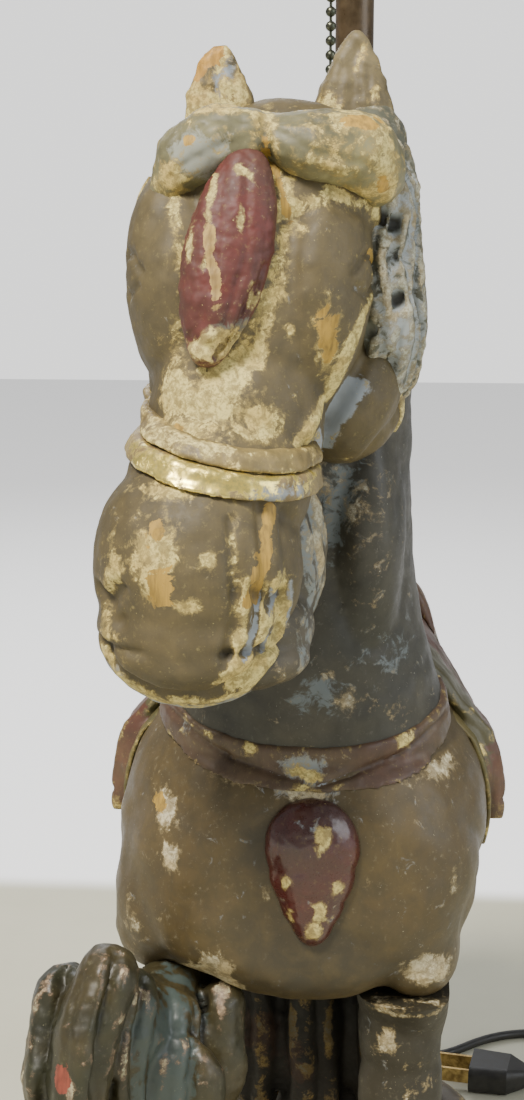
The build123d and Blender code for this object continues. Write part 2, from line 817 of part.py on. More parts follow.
with BuildPart() as set_screw:
    with BuildSketch(Plane(origin=socket.from_local_coords((-rod_radius, 0, set_screw_height)), z_dir=-socket.x_dir)):
        Circle(set_screw_radius - thread_gap)
    extrude(amount=cap_radius - rod_radius + 1.5)
save(set_screw.part, "set_screw")

with BuildPart() as socket_shell:
    with BuildSketch(socket.offset(shell_low)):
        Circle(shell_radius)
        Circle(shell_radius - shell_wall, mode=Mode.SUBTRACT)
    extrude(amount=shell_high - shell_low)
    lever_slot()
save(socket_shell.part, "socket_shell")

with BuildPart() as shell_liner:
    with BuildSketch(socket.offset(shell_low)):
        Circle(liner_radius)
        Circle(liner_radius - liner_wall, mode=Mode.SUBTRACT)
    extrude(amount=shell_high - shell_low - 2.0)
    lever_slot()
save(shell_liner.part, "shell_liner")

switch_plane = Plane(
    origin=socket.from_local_coords((0, 0, switch_height)),
    x_dir=socket.x_dir,
    z_dir=socket.y_dir,
)
with BuildPart() as insulator:
    with BuildSketch(socket.offset(insulator_low)):
        Circle(insulator_radius)
    extrude(amount=insulator_high - insulator_low)
    with BuildSketch(socket.offset(switch_well_z[0])):
        with Locations((sum(switch_well_x) / 2, 0)):
            Rectangle(switch_well_x[1] - switch_well_x[0], 2 * switch_well_y)
    extrude(amount=switch_well_z[1] - switch_well_z[0], mode=Mode.SUBTRACT)
    with BuildSketch(socket.offset(switch_well_z[0])):
        with Locations((switch_well_x[1], 0)):
            Rectangle(8, 2 * lever_slot_half)
    extrude(amount=slot_high - switch_well_z[0], mode=Mode.SUBTRACT)
    with BuildSketch(switch_plane):
        Circle(axle_radius + axle_gap)
    extrude(amount=axle_half + fit_gap, both=True, mode=Mode.SUBTRACT)
    with BuildSketch(socket.offset(insulator_low)):
        with Locations(*terminal_spots):
            Circle(terminal_radius)
    extrude(amount=terminal_depth, mode=Mode.SUBTRACT)
save(insulator.part, "insulator")

with BuildPart() as switch_rotor:
    with BuildSketch(switch_plane.offset(rotor_y[0])):
        RegularPolygon(rotor_radius, 8)
    extrude(amount=rotor_y[1] - rotor_y[0])
    with BuildSketch(switch_plane):
        Circle(axle_radius)
    extrude(amount=axle_half, both=True)
save(switch_rotor.part, "switch_rotor")

with BuildPart() as switch_lever:
    with BuildSketch(switch_plane):
        Circle(lever_hub_radius)
        with Locations((lever_reach / 2, 0)):
            Rectangle(lever_reach, 2 * lever_half_thick)
    extrude(amount=lever_half_thick, both=True)
    with BuildSketch(switch_plane):
        with Locations((lever_reach, 0)):
            Rectangle(2 * lever_tip_half, 2 * lever_half_thick)
    extrude(amount=lever_tip_half - 0.4, both=True)
    with BuildSketch(switch_plane):
        with Locations((lever_reach + 1.5, 0)):
            Rectangle(2 * link_radius + 6.0, 2 * lever_half_thick)
    extrude(amount=link_radius + 0.35, both=True, mode=Mode.SUBTRACT)
    with BuildSketch(switch_plane):
        Circle(axle_radius + axle_gap)
    extrude(amount=axle_half, both=True, mode=Mode.SUBTRACT)
save(switch_lever.part, "switch_lever")

with BuildPart() as switch_spring:
    with BuildLine():
        coil_wire = Helix(pitch=spring_length / spring_turns, height=spring_length, radius=spring_radius,
                          center=switch_plane.offset(-rotor_y[1]).origin, direction=switch_plane.z_dir)
    with BuildSketch(Plane(origin=coil_wire @ 0, z_dir=coil_wire % 0)):
        Circle(spring_wire / 2)
    sweep(is_frenet=True)
save(switch_spring.part, "switch_spring")

with BuildPart() as screw_shell:
    with BuildSketch(socket.offset(insulator_high)):
        Circle(screw_shell_radius)
        Circle(screw_shell_radius - screw_shell_wall, mode=Mode.SUBTRACT)
    extrude(amount=shell_high - insulator_high - 1.0)
save(screw_shell.part, "screw_shell")

with BuildPart() as centre_contact:
    with BuildSketch(socket.offset(insulator_high)):
        Rectangle(9, 5)
    extrude(amount=contact_thick)
save(centre_contact.part, "centre_contact")

with BuildPart() as terminal_screws:
    with BuildSketch(socket.offset(insulator_low)):
        with Locations(*terminal_spots):
            Circle(terminal_radius - thread_gap)
    extrude(amount=terminal_depth)
    with BuildSketch(socket.offset(insulator_low)):
        with Locations(*terminal_spots):
            Circle(terminal_head_radius)
    extrude(amount=-terminal_head_thick)
save(terminal_screws.part, "terminal_screws")

# ================= bulb =================
glass_foot = bulb_seat + bulb_cap_height
glass_middle = bulb_seat + bulb_length - bulb_glass_radius
with BuildPart() as bulb_cap:
    with BuildSketch(socket.offset(bulb_seat)):
        Circle(5.0)
    with BuildSketch(socket.offset(bulb_seat + 3.0)):
        Circle(bulb_cap_radius)
    loft()
    with BuildSketch(socket.offset(bulb_seat + 3.0)):
        Circle(bulb_cap_radius)
    extrude(amount=bulb_cap_height - 3.0)
    bore(bulb_cap_radius - 0.5, bulb_seat + 4.0, glass_foot, socket)
save(bulb_cap.part, "bulb_cap")

with BuildPart() as bulb_glass:
    with BuildSketch(Plane(origin=socket.origin, x_dir=(1, 0, 0), z_dir=(0, -1, 0))):
        with BuildLine():
            outer = Bezier((bulb_cap_radius - 0.6, glass_foot), (bulb_cap_radius, glass_foot + 17),
                           (bulb_glass_radius, glass_middle - 20), (bulb_glass_radius, glass_middle))
            crown = RadiusArc(outer @ 1, (0, glass_middle + bulb_glass_radius), -bulb_glass_radius)
            Line(crown @ 1, (0, glass_middle + bulb_glass_radius - bulb_wall))
            inner_crown = RadiusArc((0, glass_middle + bulb_glass_radius - bulb_wall),
                                    (bulb_glass_radius - bulb_wall, glass_middle), bulb_glass_radius - bulb_wall)
            inner = Bezier(inner_crown @ 1, (bulb_glass_radius - bulb_wall, glass_middle - 20),
                           (bulb_cap_radius - bulb_wall, glass_foot + 17),
                           (bulb_cap_radius - 0.6 - bulb_wall, glass_foot))
            Line(inner @ 1, outer @ 0)
        make_face()
    revolve(axis=Axis(socket.origin, (0, 0, 1)))
save(bulb_glass.part, "bulb_glass")

with BuildPart() as bulb_stem:
    with BuildSketch(socket.offset(bulb_seat + 4.0)):
        Circle(4.5)
    with BuildSketch(socket.offset(glass_foot + 22)):
        Circle(2.2)
    loft()
    with BuildSketch(socket.offset(glass_foot + 18)):
        with Locations((-3, 0), (3, 0)):
            Circle(0.5)
    extrude(amount=glass_middle - glass_foot - 16)
    with BuildSketch(Plane(origin=socket.from_local_coords((0, 0, glass_middle)), z_dir=socket.x_dir)):
        Circle(0.6)
    extrude(amount=9, both=True)
    with BuildSketch(socket.offset(glass_foot + 18)):
        Rectangle(8, 1.4)
    extrude(amount=3)
save(bulb_stem.part, "bulb_stem")

# ================= pull chain =================
chain_plane = Plane(origin=socket.from_local_coords((lever_reach, 0, 0)), x_dir=socket.x_dir, z_dir=(0, 0, 1))
top_bead = switch_height + lever_half_thick + bead_radius + 0.2
bead_heights = [top_bead] + [top_bead - chain_yoke - n * bead_pitch for n in range(bead_count)]
bell_top = bead_heights[-1] - bead_pitch + bead_radius

with BuildPart() as pull_chain:
    with BuildSketch(chain_plane.offset(bell_top - 1.0)):
        Circle(link_radius)
    extrude(amount=top_bead - bell_top + 1.0)
    with Locations(*[chain_plane.from_local_coords((0, 0, z)) for z in bead_heights]):
        Sphere(bead_radius)
with BuildPart() as pull_bell:
    with BuildSketch(chain_plane.offset(bell_top - bell_height)):
        Circle(bell_radius)
    with BuildSketch(chain_plane.offset(bell_top - bell_height + 2.5)):
        Circle(bell_radius * 0.85)
    with BuildSketch(chain_plane.offset(bell_top - bell_height * 0.4)):
        Circle(bell_radius * 0.6)
    with BuildSketch(chain_plane.offset(bell_top)):
        Circle(bell_radius * 0.35)
    loft()
    bore(link_radius, bell_top - 1.0, bell_top + 1, chain_plane)
save(Compound([*pull_chain.solids(), *pull_bell.solids()]), "pull_chain")

# ================= cord =================


def tube(points, radius):
    """A round cord along straight runs joined by arcs as large as the runs allow."""
    points = [Vector(*point) for point in points]
    runs = [(b - a) for a, b in zip(points, points[1:])]
    turns = [radians(a.get_angle(b)) for a, b in zip(runs, runs[1:])]
    bends = [0.45 * min(a.length, b.length) / tan(turn / 2) for a, b, turn in zip(runs, runs[1:], turns)]
    print("bend radii", [round(bend, 1) for bend in bends])
    with BuildPart() as cord:
        with BuildLine():
            route = FilletPolyline(*points, radius=bends)
        with BuildSketch(Plane(origin=route @ 0, z_dir=route % 0)):
            Circle(radius)
        sweep()
    section = pi * radius ** 2 * route.length
    print("tube volume over section times length", round(cord.part.volume / section, 4))
    return cord.part


cord_exit = (rod_x, plinth_half_length + bushing_flange, exit_height)
plug_way = Vector(cos(radians(plug_turn)), sin(radians(plug_turn)), 0)
plug_back = (plug_x, plug_y, plug_cord_height)
cord_points = [
    cord_exit,
    (rod_x, 167.5, exit_height),
    (21, 176, 3.6),
    (36, 178.5, 2.1),
    (54, 180, 2.1),
    (76, 200.5, 2.1),
    (98, 207, 2.1),
    (124, 205, 2.1),
    (148, 201, 2.1),
    (162, 203, 2.1),
]
plug_points = [
    (158, 150, 2.1),
    (140, 143, 2.1),
    (123, 145.5, 3.2),
    tuple(Vector(*plug_back) - plug_way * plug_lead),
    plug_back,
]
with BuildPart() as cord_coil:
    with BuildSketch(Plane(origin=(coil_x, coil_y, 0), x_dir=(1, 0, 0), z_dir=(0, -1, 0))):
        with Locations((coil_middle_radius, 0.1 + coil_high / 2)):
            RectangleRounded(2 * coil_across, coil_high, 2.0)
    revolve(axis=Axis((coil_x, coil_y, 0), (0, 0, 1)))
save(cord_coil.part, "cord_coil")

for label, points in (("power_cord", cord_points), ("plug_cord", plug_points)):
    with BuildPart() as stretch:
        add(tube(points, cord_radius))
        add(cord_coil.part, mode=Mode.SUBTRACT)
    save(stretch.part, label)

with BuildPart() as bushing:
    inner_end = plinth_half_length - cover_inset + 0.5
    with BuildSketch(Plane(origin=(rod_x, inner_end, exit_height), z_dir=(0, 1, 0))):
        Circle(bushing_radius)
        Circle(cord_radius, mode=Mode.SUBTRACT)
    extrude(amount=plinth_half_length - inner_end)
    with BuildSketch(Plane(origin=(rod_x, plinth_half_length, exit_height), z_dir=(0, 1, 0))):
        Circle(bushing_radius + 1.4)
        Circle(cord_radius, mode=Mode.SUBTRACT)
    extrude(amount=bushing_flange)
save(bushing.part, "cord_bushing")

with BuildPart() as inner_cord:
    with BuildLine():
        inside = FilletPolyline(cord_exit, (rod_x, rod_y, exit_height),
                                (rod_x, rod_y, socket_foot + wire_split), radius=inner_bend)
    with BuildSketch(Plane(origin=inside @ 0, z_dir=inside % 0)):
        Circle(cord_radius)
    sweep()
with BuildPart() as socket_wires:
    for side, spot in zip((1, -1), terminal_spots):
        start = socket.from_local_coords((0, side * wire_apart, wire_split))
        above = socket.from_local_coords((0, side * wire_apart, insulator_low - terminal_head_thick - wire_bend))
        end = socket.from_local_coords((spot[0], spot[1], insulator_low - terminal_head_thick - 1.2))
        with BuildLine():
            wire = FilletPolyline(start, above, end, radius=wire_bend)
        with BuildSketch(Plane(origin=wire @ 0, z_dir=wire % 0)) as wire_end:
            Circle(wire_radius)
        sweep(wire_end.sketch, path=wire)
save(Compound([*inner_cord.solids(), *socket_wires.solids()]), "inner_cord")

# ================= plug =================
plug_plane = Plane(origin=plug_back, x_dir=(0, 0, 1), z_dir=plug_way)
with BuildPart() as plug_body:
    with BuildSketch(plug_plane):
        RectangleRounded(8, 8, 2.5)
    with BuildSketch(plug_plane.offset(plug_length * 0.35)):
        RectangleRounded(plug_high, plug_half_width * 1.8, 4)
    with BuildSketch(plug_plane.offset(plug_length)):
        RectangleRounded(plug_high, plug_half_width * 2, 4)
    loft(ruled=True)
save(plug_body.part, "plug_body")

with BuildPart() as plug_blades:
    with BuildSketch(plug_plane.offset(plug_length)):
        with Locations((0, blade_spacing / 2), (0, -blade_spacing / 2)):
            Rectangle(blade_width, blade_thick)
    extrude(amount=blade_length)
    fillet(plug_blades.edges().filter_by(Axis((0, 0, 0), plug_plane.y_dir)).sort_by(
        Axis((0, 0, 0), plug_way))[-4:], 1.5)
save(plug_blades.part, "plug_blades")

print(len(written), "pieces")
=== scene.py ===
import math
from functools import partial
import bpy
import numpy as np
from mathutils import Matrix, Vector, noise


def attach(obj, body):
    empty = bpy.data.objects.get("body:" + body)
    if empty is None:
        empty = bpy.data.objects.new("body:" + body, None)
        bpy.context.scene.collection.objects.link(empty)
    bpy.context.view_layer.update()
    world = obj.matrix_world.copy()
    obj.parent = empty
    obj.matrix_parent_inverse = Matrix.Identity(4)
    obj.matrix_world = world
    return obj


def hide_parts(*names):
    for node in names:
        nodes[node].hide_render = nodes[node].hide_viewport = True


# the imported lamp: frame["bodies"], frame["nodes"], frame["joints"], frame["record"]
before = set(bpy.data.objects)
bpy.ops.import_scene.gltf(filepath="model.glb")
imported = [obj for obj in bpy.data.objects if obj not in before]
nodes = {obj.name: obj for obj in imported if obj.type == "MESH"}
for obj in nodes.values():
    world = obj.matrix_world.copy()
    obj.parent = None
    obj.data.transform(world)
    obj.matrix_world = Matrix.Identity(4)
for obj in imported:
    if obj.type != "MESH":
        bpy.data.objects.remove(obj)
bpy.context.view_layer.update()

# The carved horse lamp. Lengths are written in millimetres and turned into metres by mm.
mm = 0.001
smoothAngle = 55            # edges sharper than this stay crisp


# picking, blocking out and carving
def clearPick():
    if bpy.context.object and bpy.context.object.mode != "OBJECT":
        bpy.ops.object.mode_set(mode="OBJECT")
    bpy.ops.object.select_all(action="DESELECT")


def pick(*pieces):
    clearPick()
    for piece in pieces:
        piece.select_set(True)
    bpy.context.view_layer.objects.active = pieces[0]


def applyAll(piece):
    pick(piece)
    bpy.ops.object.transform_apply(location=True, rotation=True, scale=True)


def useModifier(piece, kind, **settings):
    pick(piece)
    modifier = piece.modifiers.new("shape", kind)
    for key, value in settings.items():
        setattr(modifier, key, value)
    bpy.ops.object.modifier_apply(modifier=modifier.name)


def ball(at, half, turn=(0, 0, 0), cuts=3):
    clearPick()
    bpy.ops.mesh.primitive_ico_sphere_add(subdivisions=cuts, radius=1)
    lump = bpy.context.object
    lump.location = [value * mm for value in at]
    lump.rotation_euler = [math.radians(value) for value in turn]
    lump.scale = [value * mm for value in half]
    return lump


def balls(lumps, cuts=3):
    return [ball(*lump, cuts=cuts) for lump in lumps]


def chain(stations, spacing=0.3):
    # a row of lumps through (middle, half sizes) stations
    lumps = []
    for (a, halfA), (b, halfB) in zip(stations, stations[1:]):
        a, b, halfA, halfB = (np.array(value, float) for value in (a, b, halfA, halfB))
        steps = max(2, int(np.linalg.norm(b - a) / (spacing * min(halfA.min(), halfB.min()))) + 1)
        for step in range(steps):
            share = step / steps
            lumps.append(ball(a + (b - a) * share, halfA + (halfB - halfA) * share, cuts=2))
    lumps.append(ball(*stations[-1], cuts=2))
    return lumps


def fuse(name, lumps, voxel=1.0, smooth=6):
    pick(*lumps)
    bpy.ops.object.join()
    piece = bpy.context.object
    piece.name = name
    piece.data.name = name
    applyAll(piece)
    useModifier(piece, "REMESH", mode="VOXEL", voxel_size=voxel * mm)
    if smooth:
        useModifier(piece, "SMOOTH", factor=0.5, iterations=smooth)
    return piece


def readPoints(piece):
    points = np.empty(len(piece.data.vertices) * 3)
    piece.data.vertices.foreach_get("co", points)
    return points.reshape(-1, 3) / mm


def writePoints(piece, points):
    piece.data.vertices.foreach_set("co", (points * mm).ravel())
    piece.data.update()


def readNormals(piece):
    normals = np.empty(len(piece.data.vertices) * 3)
    piece.data.vertex_normals.foreach_get("vector", normals)
    return normals.reshape(-1, 3)


# the axis that a side looks along, and which way
sides = {"front": (1, -1), "back": (1, 1), "left": (0, 1), "right": (0, -1)}


def seenFrom(piece, side):
    axis, sign = sides[side]
    return np.clip(readNormals(piece)[:, axis] * sign * 2.2, 0, 1)


def lineReach(points, line, side):
    # distance to a line of points, measured square to the side that it is drawn on
    keep = [0, 1, 2]
    keep.remove(sides[side][0])
    flat = points[:, keep]
    reach = np.full(len(flat), 1e9)
    for a, b in zip(line, line[1:]):
        a, b = np.array(a, float), np.array(b, float)
        along = b - a
        share = np.clip(((flat - a) @ along) / (along @ along), 0, 1)
        reach = np.minimum(reach, np.linalg.norm(flat - a - share[:, None] * along, axis=1))
    return reach


def carve(piece, line, width, depth, side="front"):
    points = readPoints(piece)
    cut = depth * np.exp(-(lineReach(points, line, side) / width) ** 2) * seenFrom(piece, side)
    writePoints(piece, points - readNormals(piece) * cut[:, None])


def roughen(piece, size, amount, seed=0):
    points = readPoints(piece)
    shift = Vector((seed * 3.1, seed * 1.7, seed * 2.3))
    lift = np.array([noise.fractal(Vector(point) / size + shift, 0.9, 2.0, 3) for point in points])
    writePoints(piece, points + readNormals(piece) * (lift * amount)[:, None])


def storeValue(piece, name, values):
    layer = piece.data.attributes.get(name) or piece.data.attributes.new(name, "FLOAT", "POINT")
    layer.data.foreach_set("value", np.asarray(values, dtype=np.float32))


def heldValue(piece, name):
    held = np.zeros(len(piece.data.vertices), dtype=np.float32)
    layer = piece.data.attributes.get(name)
    if layer:
        layer.data.foreach_get("value", held)
    return held.astype(float)


def spots(piece, name, places, side="front"):
    # soft round patches drawn on one side: (across, up, half width, half height, strength)
    points = readPoints(piece)
    keep = [0, 1, 2]
    keep.remove(sides[side][0])
    seen = seenFrom(piece, side)
    total = heldValue(piece, name)
    for across, up, wide, high, strength in places:
        offset = (points[:, keep] - (across, up)) / (wide, high)
        total += strength * np.exp(-(offset ** 2).sum(1)) * seen
    storeValue(piece, name, total)


def strokes(piece, name, line, width, strength, side="front"):
    # a soft line drawn on one side, added to what the piece already holds
    near = np.exp(-(lineReach(readPoints(piece), line, side) / width) ** 2)
    storeValue(piece, name, heldValue(piece, name) + strength * near * seenFrom(piece, side))


def markHollows(piece, rounds=6):
    # how far each point lies below its neighbours: positive in grooves, negative on edges
    mesh = piece.data
    edges = np.empty(len(mesh.edges) * 2, dtype=np.int64)
    mesh.edges.foreach_get("vertices", edges)
    a, b = edges.reshape(-1, 2).T
    points, normals = readPoints(piece), readNormals(piece)
    count = np.bincount(a, minlength=len(points)) + np.bincount(b, minlength=len(points))
    count = np.maximum(count, 1)

    def around(values):
        total = np.zeros_like(values)
        np.add.at(total, a, values[b])
        np.add.at(total, b, values[a])
        return total / (count[:, None] if values.ndim > 1 else count)

    wide = points
    for step in range(rounds):
        wide = around(wide)
    hollow_and_shade = ((wide - points) * normals).sum(1)
    for step in range(2):
        hollow_and_shade = around(hollow_and_shade)
    storeValue(piece, "hollow_and_shade", hollow_and_shade)


def finishPiece(piece, finish, slot, *replaced, body="lamp"):
    if piece.data.attributes.get("hollow_and_shade") is None:
        markHollows(piece)
    pick(piece)
    bpy.ops.object.shade_smooth_by_angle(angle=math.radians(smoothAngle))
    piece.data.materials.clear()
    piece.data.materials.append(finishes[finish])
    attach(piece, body)
    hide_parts(*replaced)


# camera, floor and light
stageSizes = {
    "cameraAt": (25, -560, 400),
    "cameraDown": 12.0,
    "cameraLeft": 4.29,
    "lens": 56.3,
    "floorHalf": 3000,
    "tableBack": 360,
    "farGlow": 0.55,
    "skyLight": 0.37,
    "wallLight": 1.5,
    "cloth": [(0.6, 0.58, 0.44), (0.65, 0.63, 0.49)],
    "clothPatches": 120,
    "fadeFrom": 700,
    "fadeTo": 1500,
}
bpy.ops.object.camera_add(
    location=[value * mm for value in stageSizes["cameraAt"]],
    rotation=(math.radians(90 - stageSizes["cameraDown"]), 0, math.radians(stageSizes["cameraLeft"])),
)
camera = bpy.context.object
camera.data.lens = stageSizes["lens"]
camera.data.sensor_width = 36
camera.data.clip_start = 0.01
bpy.context.scene.camera = camera


def addLight(name, at, aim, size, power, color=(1, 1, 1)):
    clearPick()
    place = Vector(at) * mm
    turn = (Vector(aim) * mm - place).to_track_quat("-Z", "Y").to_euler()
    bpy.ops.object.light_add(type="AREA", location=place, rotation=turn)
    lamp = bpy.context.object
    lamp.name = name
    lamp.data.shape = "DISK"
    lamp.data.size = size * mm
    lamp.data.energy = power
    lamp.data.color = color


addLight("keyLight", (-420, -820, 1400), (0, -60, 330), 420, 37, (1.0, 0.95, 0.87))
addLight("sideLight", (1100, -500, 700), (0, 0, 250), 900, 8, (0.9, 0.95, 1.0))
addLight("backLight", (-300, 1100, 1000), (0, 0, 250), 900, 9, (0.95, 0.97, 1.0))
world = bpy.data.worlds.new("studio")
bpy.context.scene.world = world
world.use_nodes = True
sky = world.node_tree
light = sky.nodes["Background"]
wall = sky.nodes.new("ShaderNodeBackground")        # what the eye sees past the floor
for shade, color, strength in ((light, (0.95, 0.96, 0.97, 1), "skyLight"),
        (wall, (1.0, 1.0, 0.99, 1), "wallLight")):
    shade.inputs["Color"].default_value = color
    shade.inputs["Strength"].default_value = stageSizes[strength]
chooser = sky.nodes.new("ShaderNodeMixShader")
eye = sky.nodes.new("ShaderNodeLightPath")
for number, source in enumerate((eye.outputs["Is Camera Ray"], light.outputs[0], wall.outputs[0])):
    sky.links.new(source, chooser.inputs[number])
sky.links.new(chooser.outputs[0], sky.nodes["World Output"].inputs["Surface"])
print("camera and light placed")


# shader helpers
def newMaterial(name):
    material = bpy.data.materials.new(name)
    material.use_nodes = True
    return material, material.node_tree, material.node_tree.nodes["Principled BSDF"]


def feed(tree, slot, value):
    # a link from another node's output, or a constant on the socket
    if hasattr(value, "is_output"):
        tree.links.new(value, slot)
    elif slot.type == "RGBA":
        slot.default_value = (*value[:3], 1)
    else:
        slot.default_value = value


def addNode(tree, kind, **values):
    made = tree.nodes.new(kind)
    for key, value in values.items():
        if key in made.inputs:
            feed(tree, made.inputs[key], value)
        else:
            setattr(made, key, value)
    return made


def maths(tree, operation, a, b=0.0, clamp=False):
    made = tree.nodes.new("ShaderNodeMath")
    made.operation = operation
    made.use_clamp = clamp
    for slot, value in zip(made.inputs, (a, b)):
        feed(tree, slot, value)
    return made.outputs[0]


def ramp(tree, value, low, high, toLow=0.0, toHigh=1.0):
    made = tree.nodes.new("ShaderNodeMapRange")
    made.interpolation_type = "SMOOTHSTEP"
    for slot, item in zip(made.inputs, (value, low, high, toLow, toHigh)):
        feed(tree, slot, item)
    return made.outputs[0]


def mixColor(tree, share, a, b):
    made = addNode(tree, "ShaderNodeMix", data_type="RGBA")
    for number, item in ((0, share), (6, a), (7, b)):
        feed(tree, made.inputs[number], item)
    return made.outputs[2]


def noiseValue(tree, vector, size, detail=4.0, rough=0.55, twist=0.0):
    made = addNode(tree, "ShaderNodeTexNoise", Scale=1000.0 / size, Detail=detail, Roughness=rough,
        Distortion=twist, Vector=vector)
    return made.outputs["Fac"]


def stretch(tree, vector, scale):
    return addNode(tree, "ShaderNodeMapping", Vector=vector, Scale=scale).outputs["Vector"]


def newGroup(name, inputs, outputs):
    group = bpy.data.node_groups.new(name, "ShaderNodeTree")
    for title, kind, value in inputs:
        socket = group.interface.new_socket(name=title, in_out="INPUT", socket_type=kind)
        socket.default_value = value
    for title, kind in outputs:
        group.interface.new_socket(name=title, in_out="OUTPUT", socket_type=kind)
    return group, group.nodes.new("NodeGroupInput"), group.nodes.new("NodeGroupOutput")


def makeAgedPaint():
    # paint over a white ground over wood, lost in flakes, dusty and grimy
    group, given, out = newGroup(
        "agedPaint",
        [
            ("Paint", "NodeSocketColor", (0.2, 0.15, 0.1, 1)),
            ("Faded", "NodeSocketColor", (0.25, 0.2, 0.13, 1)),
            ("Ground", "NodeSocketColor", (0.72, 0.66, 0.48, 1)),
            ("Wood", "NodeSocketColor", (0.42, 0.24, 0.08, 1)),
            ("Grime", "NodeSocketColor", (0.05, 0.04, 0.025, 1)),
            ("Loss", "NodeSocketFloat", 0.0),
            ("Bare", "NodeSocketFloat", 0.0),
            ("Flecks", "NodeSocketFloat", 0.3),
            ("Hollow_and_shade", "NodeSocketFloat", 0.0),
            ("Dirt", "NodeSocketFloat", 0.5),
            ("Shift", "NodeSocketVector", (0, 0, 0)),
            ("Gloss", "NodeSocketFloat", 0.3),
            ("Tint", "NodeSocketFloat", 0.0),
            ("TintColor", "NodeSocketColor", (0.4, 0.43, 0.46, 1)),
        ],
        [("Color", "NodeSocketColor"), ("Roughness", "NodeSocketFloat"), ("Height", "NodeSocketFloat")],
    )
    place = group.nodes.new("ShaderNodeTexCoord").outputs["Object"]
    moved = addNode(group, "ShaderNodeVectorMath", operation="ADD")
    group.links.new(place, moved.inputs[0])
    group.links.new(given.outputs["Shift"], moved.inputs[1])
    spot = moved.outputs[0]
    take = given.outputs
    cloud, ease, blend = partial(noiseValue, group, spot), partial(ramp, group), partial(mixColor, group)
    times, plus, minus = (partial(maths, group, kind) for kind in ("MULTIPLY", "ADD", "SUBTRACT"))
    broad = cloud(26, 3, 0.5)
    mid = cloud(7, 7, 0.62, 0.4)
    fine = cloud(1.6, 4, 0.7)
    dust = cloud(0.7, 2, 0.6)
    flakes = cloud(5.0, 9, 0.68, 0.6)
    grain = noiseValue(group, stretch(group, spot, (1, 1, 0.09)), 1.7, 5, 0.6, 0.3)
    # coloured coat
    coat = blend(ease(broad, 0.35, 0.65), take["Paint"], take["Faded"])
    coat = blend(ease(mid, 0.25, 0.75, 0.0, 0.55), coat, take["Grime"])
    coat = blend(ease(fine, 0.55, 0.85, 0.0, 0.22), coat, take["Ground"])
    coat = blend(ease(grain, 0.5, 0.8, 0.0, 0.25), coat, take["Grime"])
    stained = ease(plus(flakes, times(take["Tint"], 0.4)), 0.62, 0.74)
    coat = blend(stained, coat, take["TintColor"])
    # white ground, yellowed in places
    yellow = blend(0.55, take["Ground"], take["Wood"])
    chalk = blend(ease(cloud(9, 5, 0.6), 0.45, 0.62, 0.0, 0.8), take["Ground"], yellow)
    olive = blend(0.62, yellow, take["Grime"])
    chalk = blend(ease(cloud(3.2, 7, 0.7, 0.5), 0.45, 0.6, 0.0, 0.75), chalk, olive)
    chalk = blend(ease(cloud(1.0, 4, 0.7), 0.46, 0.62, 0.0, 0.65), chalk, olive)
    # bare wood with its grain
    timber = blend(ease(grain, 0.35, 0.7), take["Wood"], take["Grime"])
    timber = blend(0.55, take["Wood"], timber)
    # where each layer is lost
    edge = times(take["Hollow_and_shade"], -0.25)
    ragged = blend(0.36, flakes, cloud(1.9, 6, 0.75))
    worn = plus(plus(ragged, times(take["Loss"], 0.225)), edge)
    lost = ease(worn, 0.668, 0.7)
    thin = ease(worn, 0.6, 0.68, 0.0, 0.7)
    bareAmount = plus(flakes, times(take["Bare"], 0.34))
    bare = ease(bareAmount, 0.7, 0.725)
    specks = times(ease(dust, 0.71, 0.75), ease(mid, 0.47, 0.6))
    specks = times(specks, take["Flecks"], True)
    tan = blend(0.5, take["Grime"], yellow)
    color = blend(thin, coat, tan)
    color = blend(lost, color, chalk)
    color = blend(specks, color, take["Ground"])
    color = blend(bare, color, timber)
    # dirt gathers in the hollows; on the chest this also lays painted shade, from the shade spots added to
    # the hollow value
    deep = ease(take["Hollow_and_shade"], 0.05, 0.9)
    grime_and_shade = times(times(deep, ease(mid, 0.2, 0.6, 0.5, 1.0)), take["Dirt"], True)
    color = blend(grime_and_shade, color, take["Grime"])
    rough = ease(fine, 0.2, 0.8, -0.08, 0.1)
    rough = plus(rough, minus(0.78, times(take["Gloss"], 0.6)))
    rough = plus(rough, times(lost, 0.15), True)
    height = minus(times(fine, 0.1), times(lost, 0.34))
    height = minus(height, times(bare, 0.3))
    height = plus(height, times(mid, 0.22))
    height = plus(height, times(grain, 0.08))
    for title, value in (("Color", color), ("Roughness", rough), ("Height", height)):
        group.links.new(value, out.inputs[title])
    return group


agedPaint = makeAgedPaint()


def attribute(tree, name):
    made = tree.nodes.new("ShaderNodeAttribute")
    made.attribute_name = name
    return made.outputs["Fac"]


def addRelief(tree, shader, height, strength, distance):
    relief = addNode(tree, "ShaderNodeBump", Strength=strength, Distance=distance * mm, Height=height)
    tree.links.new(relief.outputs["Normal"], shader.inputs["Normal"])


def paintedWood(name, paint, faded, ground=(0.66, 0.55, 0.2), wood=(0.42, 0.26, 0.045),
        grime=(0.035, 0.03, 0.018), flecks=0.6, dirt=0.8, gloss=0.35, loss=0.0, coat=0.0,
        tint=(0.25, 0.28, 0.3)):
    material, tree, shader = newMaterial(name)
    group = addNode(tree, "ShaderNodeGroup", node_tree=agedPaint)
    for title, value in (("Paint", paint), ("Faded", faded), ("Ground", ground), ("Wood", wood),
            ("Grime", grime), ("TintColor", tint)):
        group.inputs[title].default_value = (*value, 1)
    shift = (len(name) * 0.013, sum(map(ord, name)) * 0.0007, len(name) * 0.007)
    for title, value in (("Flecks", flecks), ("Dirt", dirt), ("Gloss", gloss), ("Shift", shift)):
        group.inputs[title].default_value = value
    tree.links.new(maths(tree, "ADD", attribute(tree, "loss"), loss), group.inputs["Loss"])
    for title in ("bare", "hollow_and_shade", "tint"):
        tree.links.new(attribute(tree, title), group.inputs[title.capitalize()])
    tree.links.new(group.outputs["Color"], shader.inputs["Base Color"])
    tree.links.new(group.outputs["Roughness"], shader.inputs["Roughness"])
    addRelief(tree, shader, group.outputs["Height"], 0.35, 0.5)
    shader.inputs["Coat Weight"].default_value = coat
    shader.inputs["Coat Roughness"].default_value = 0.25
    return material


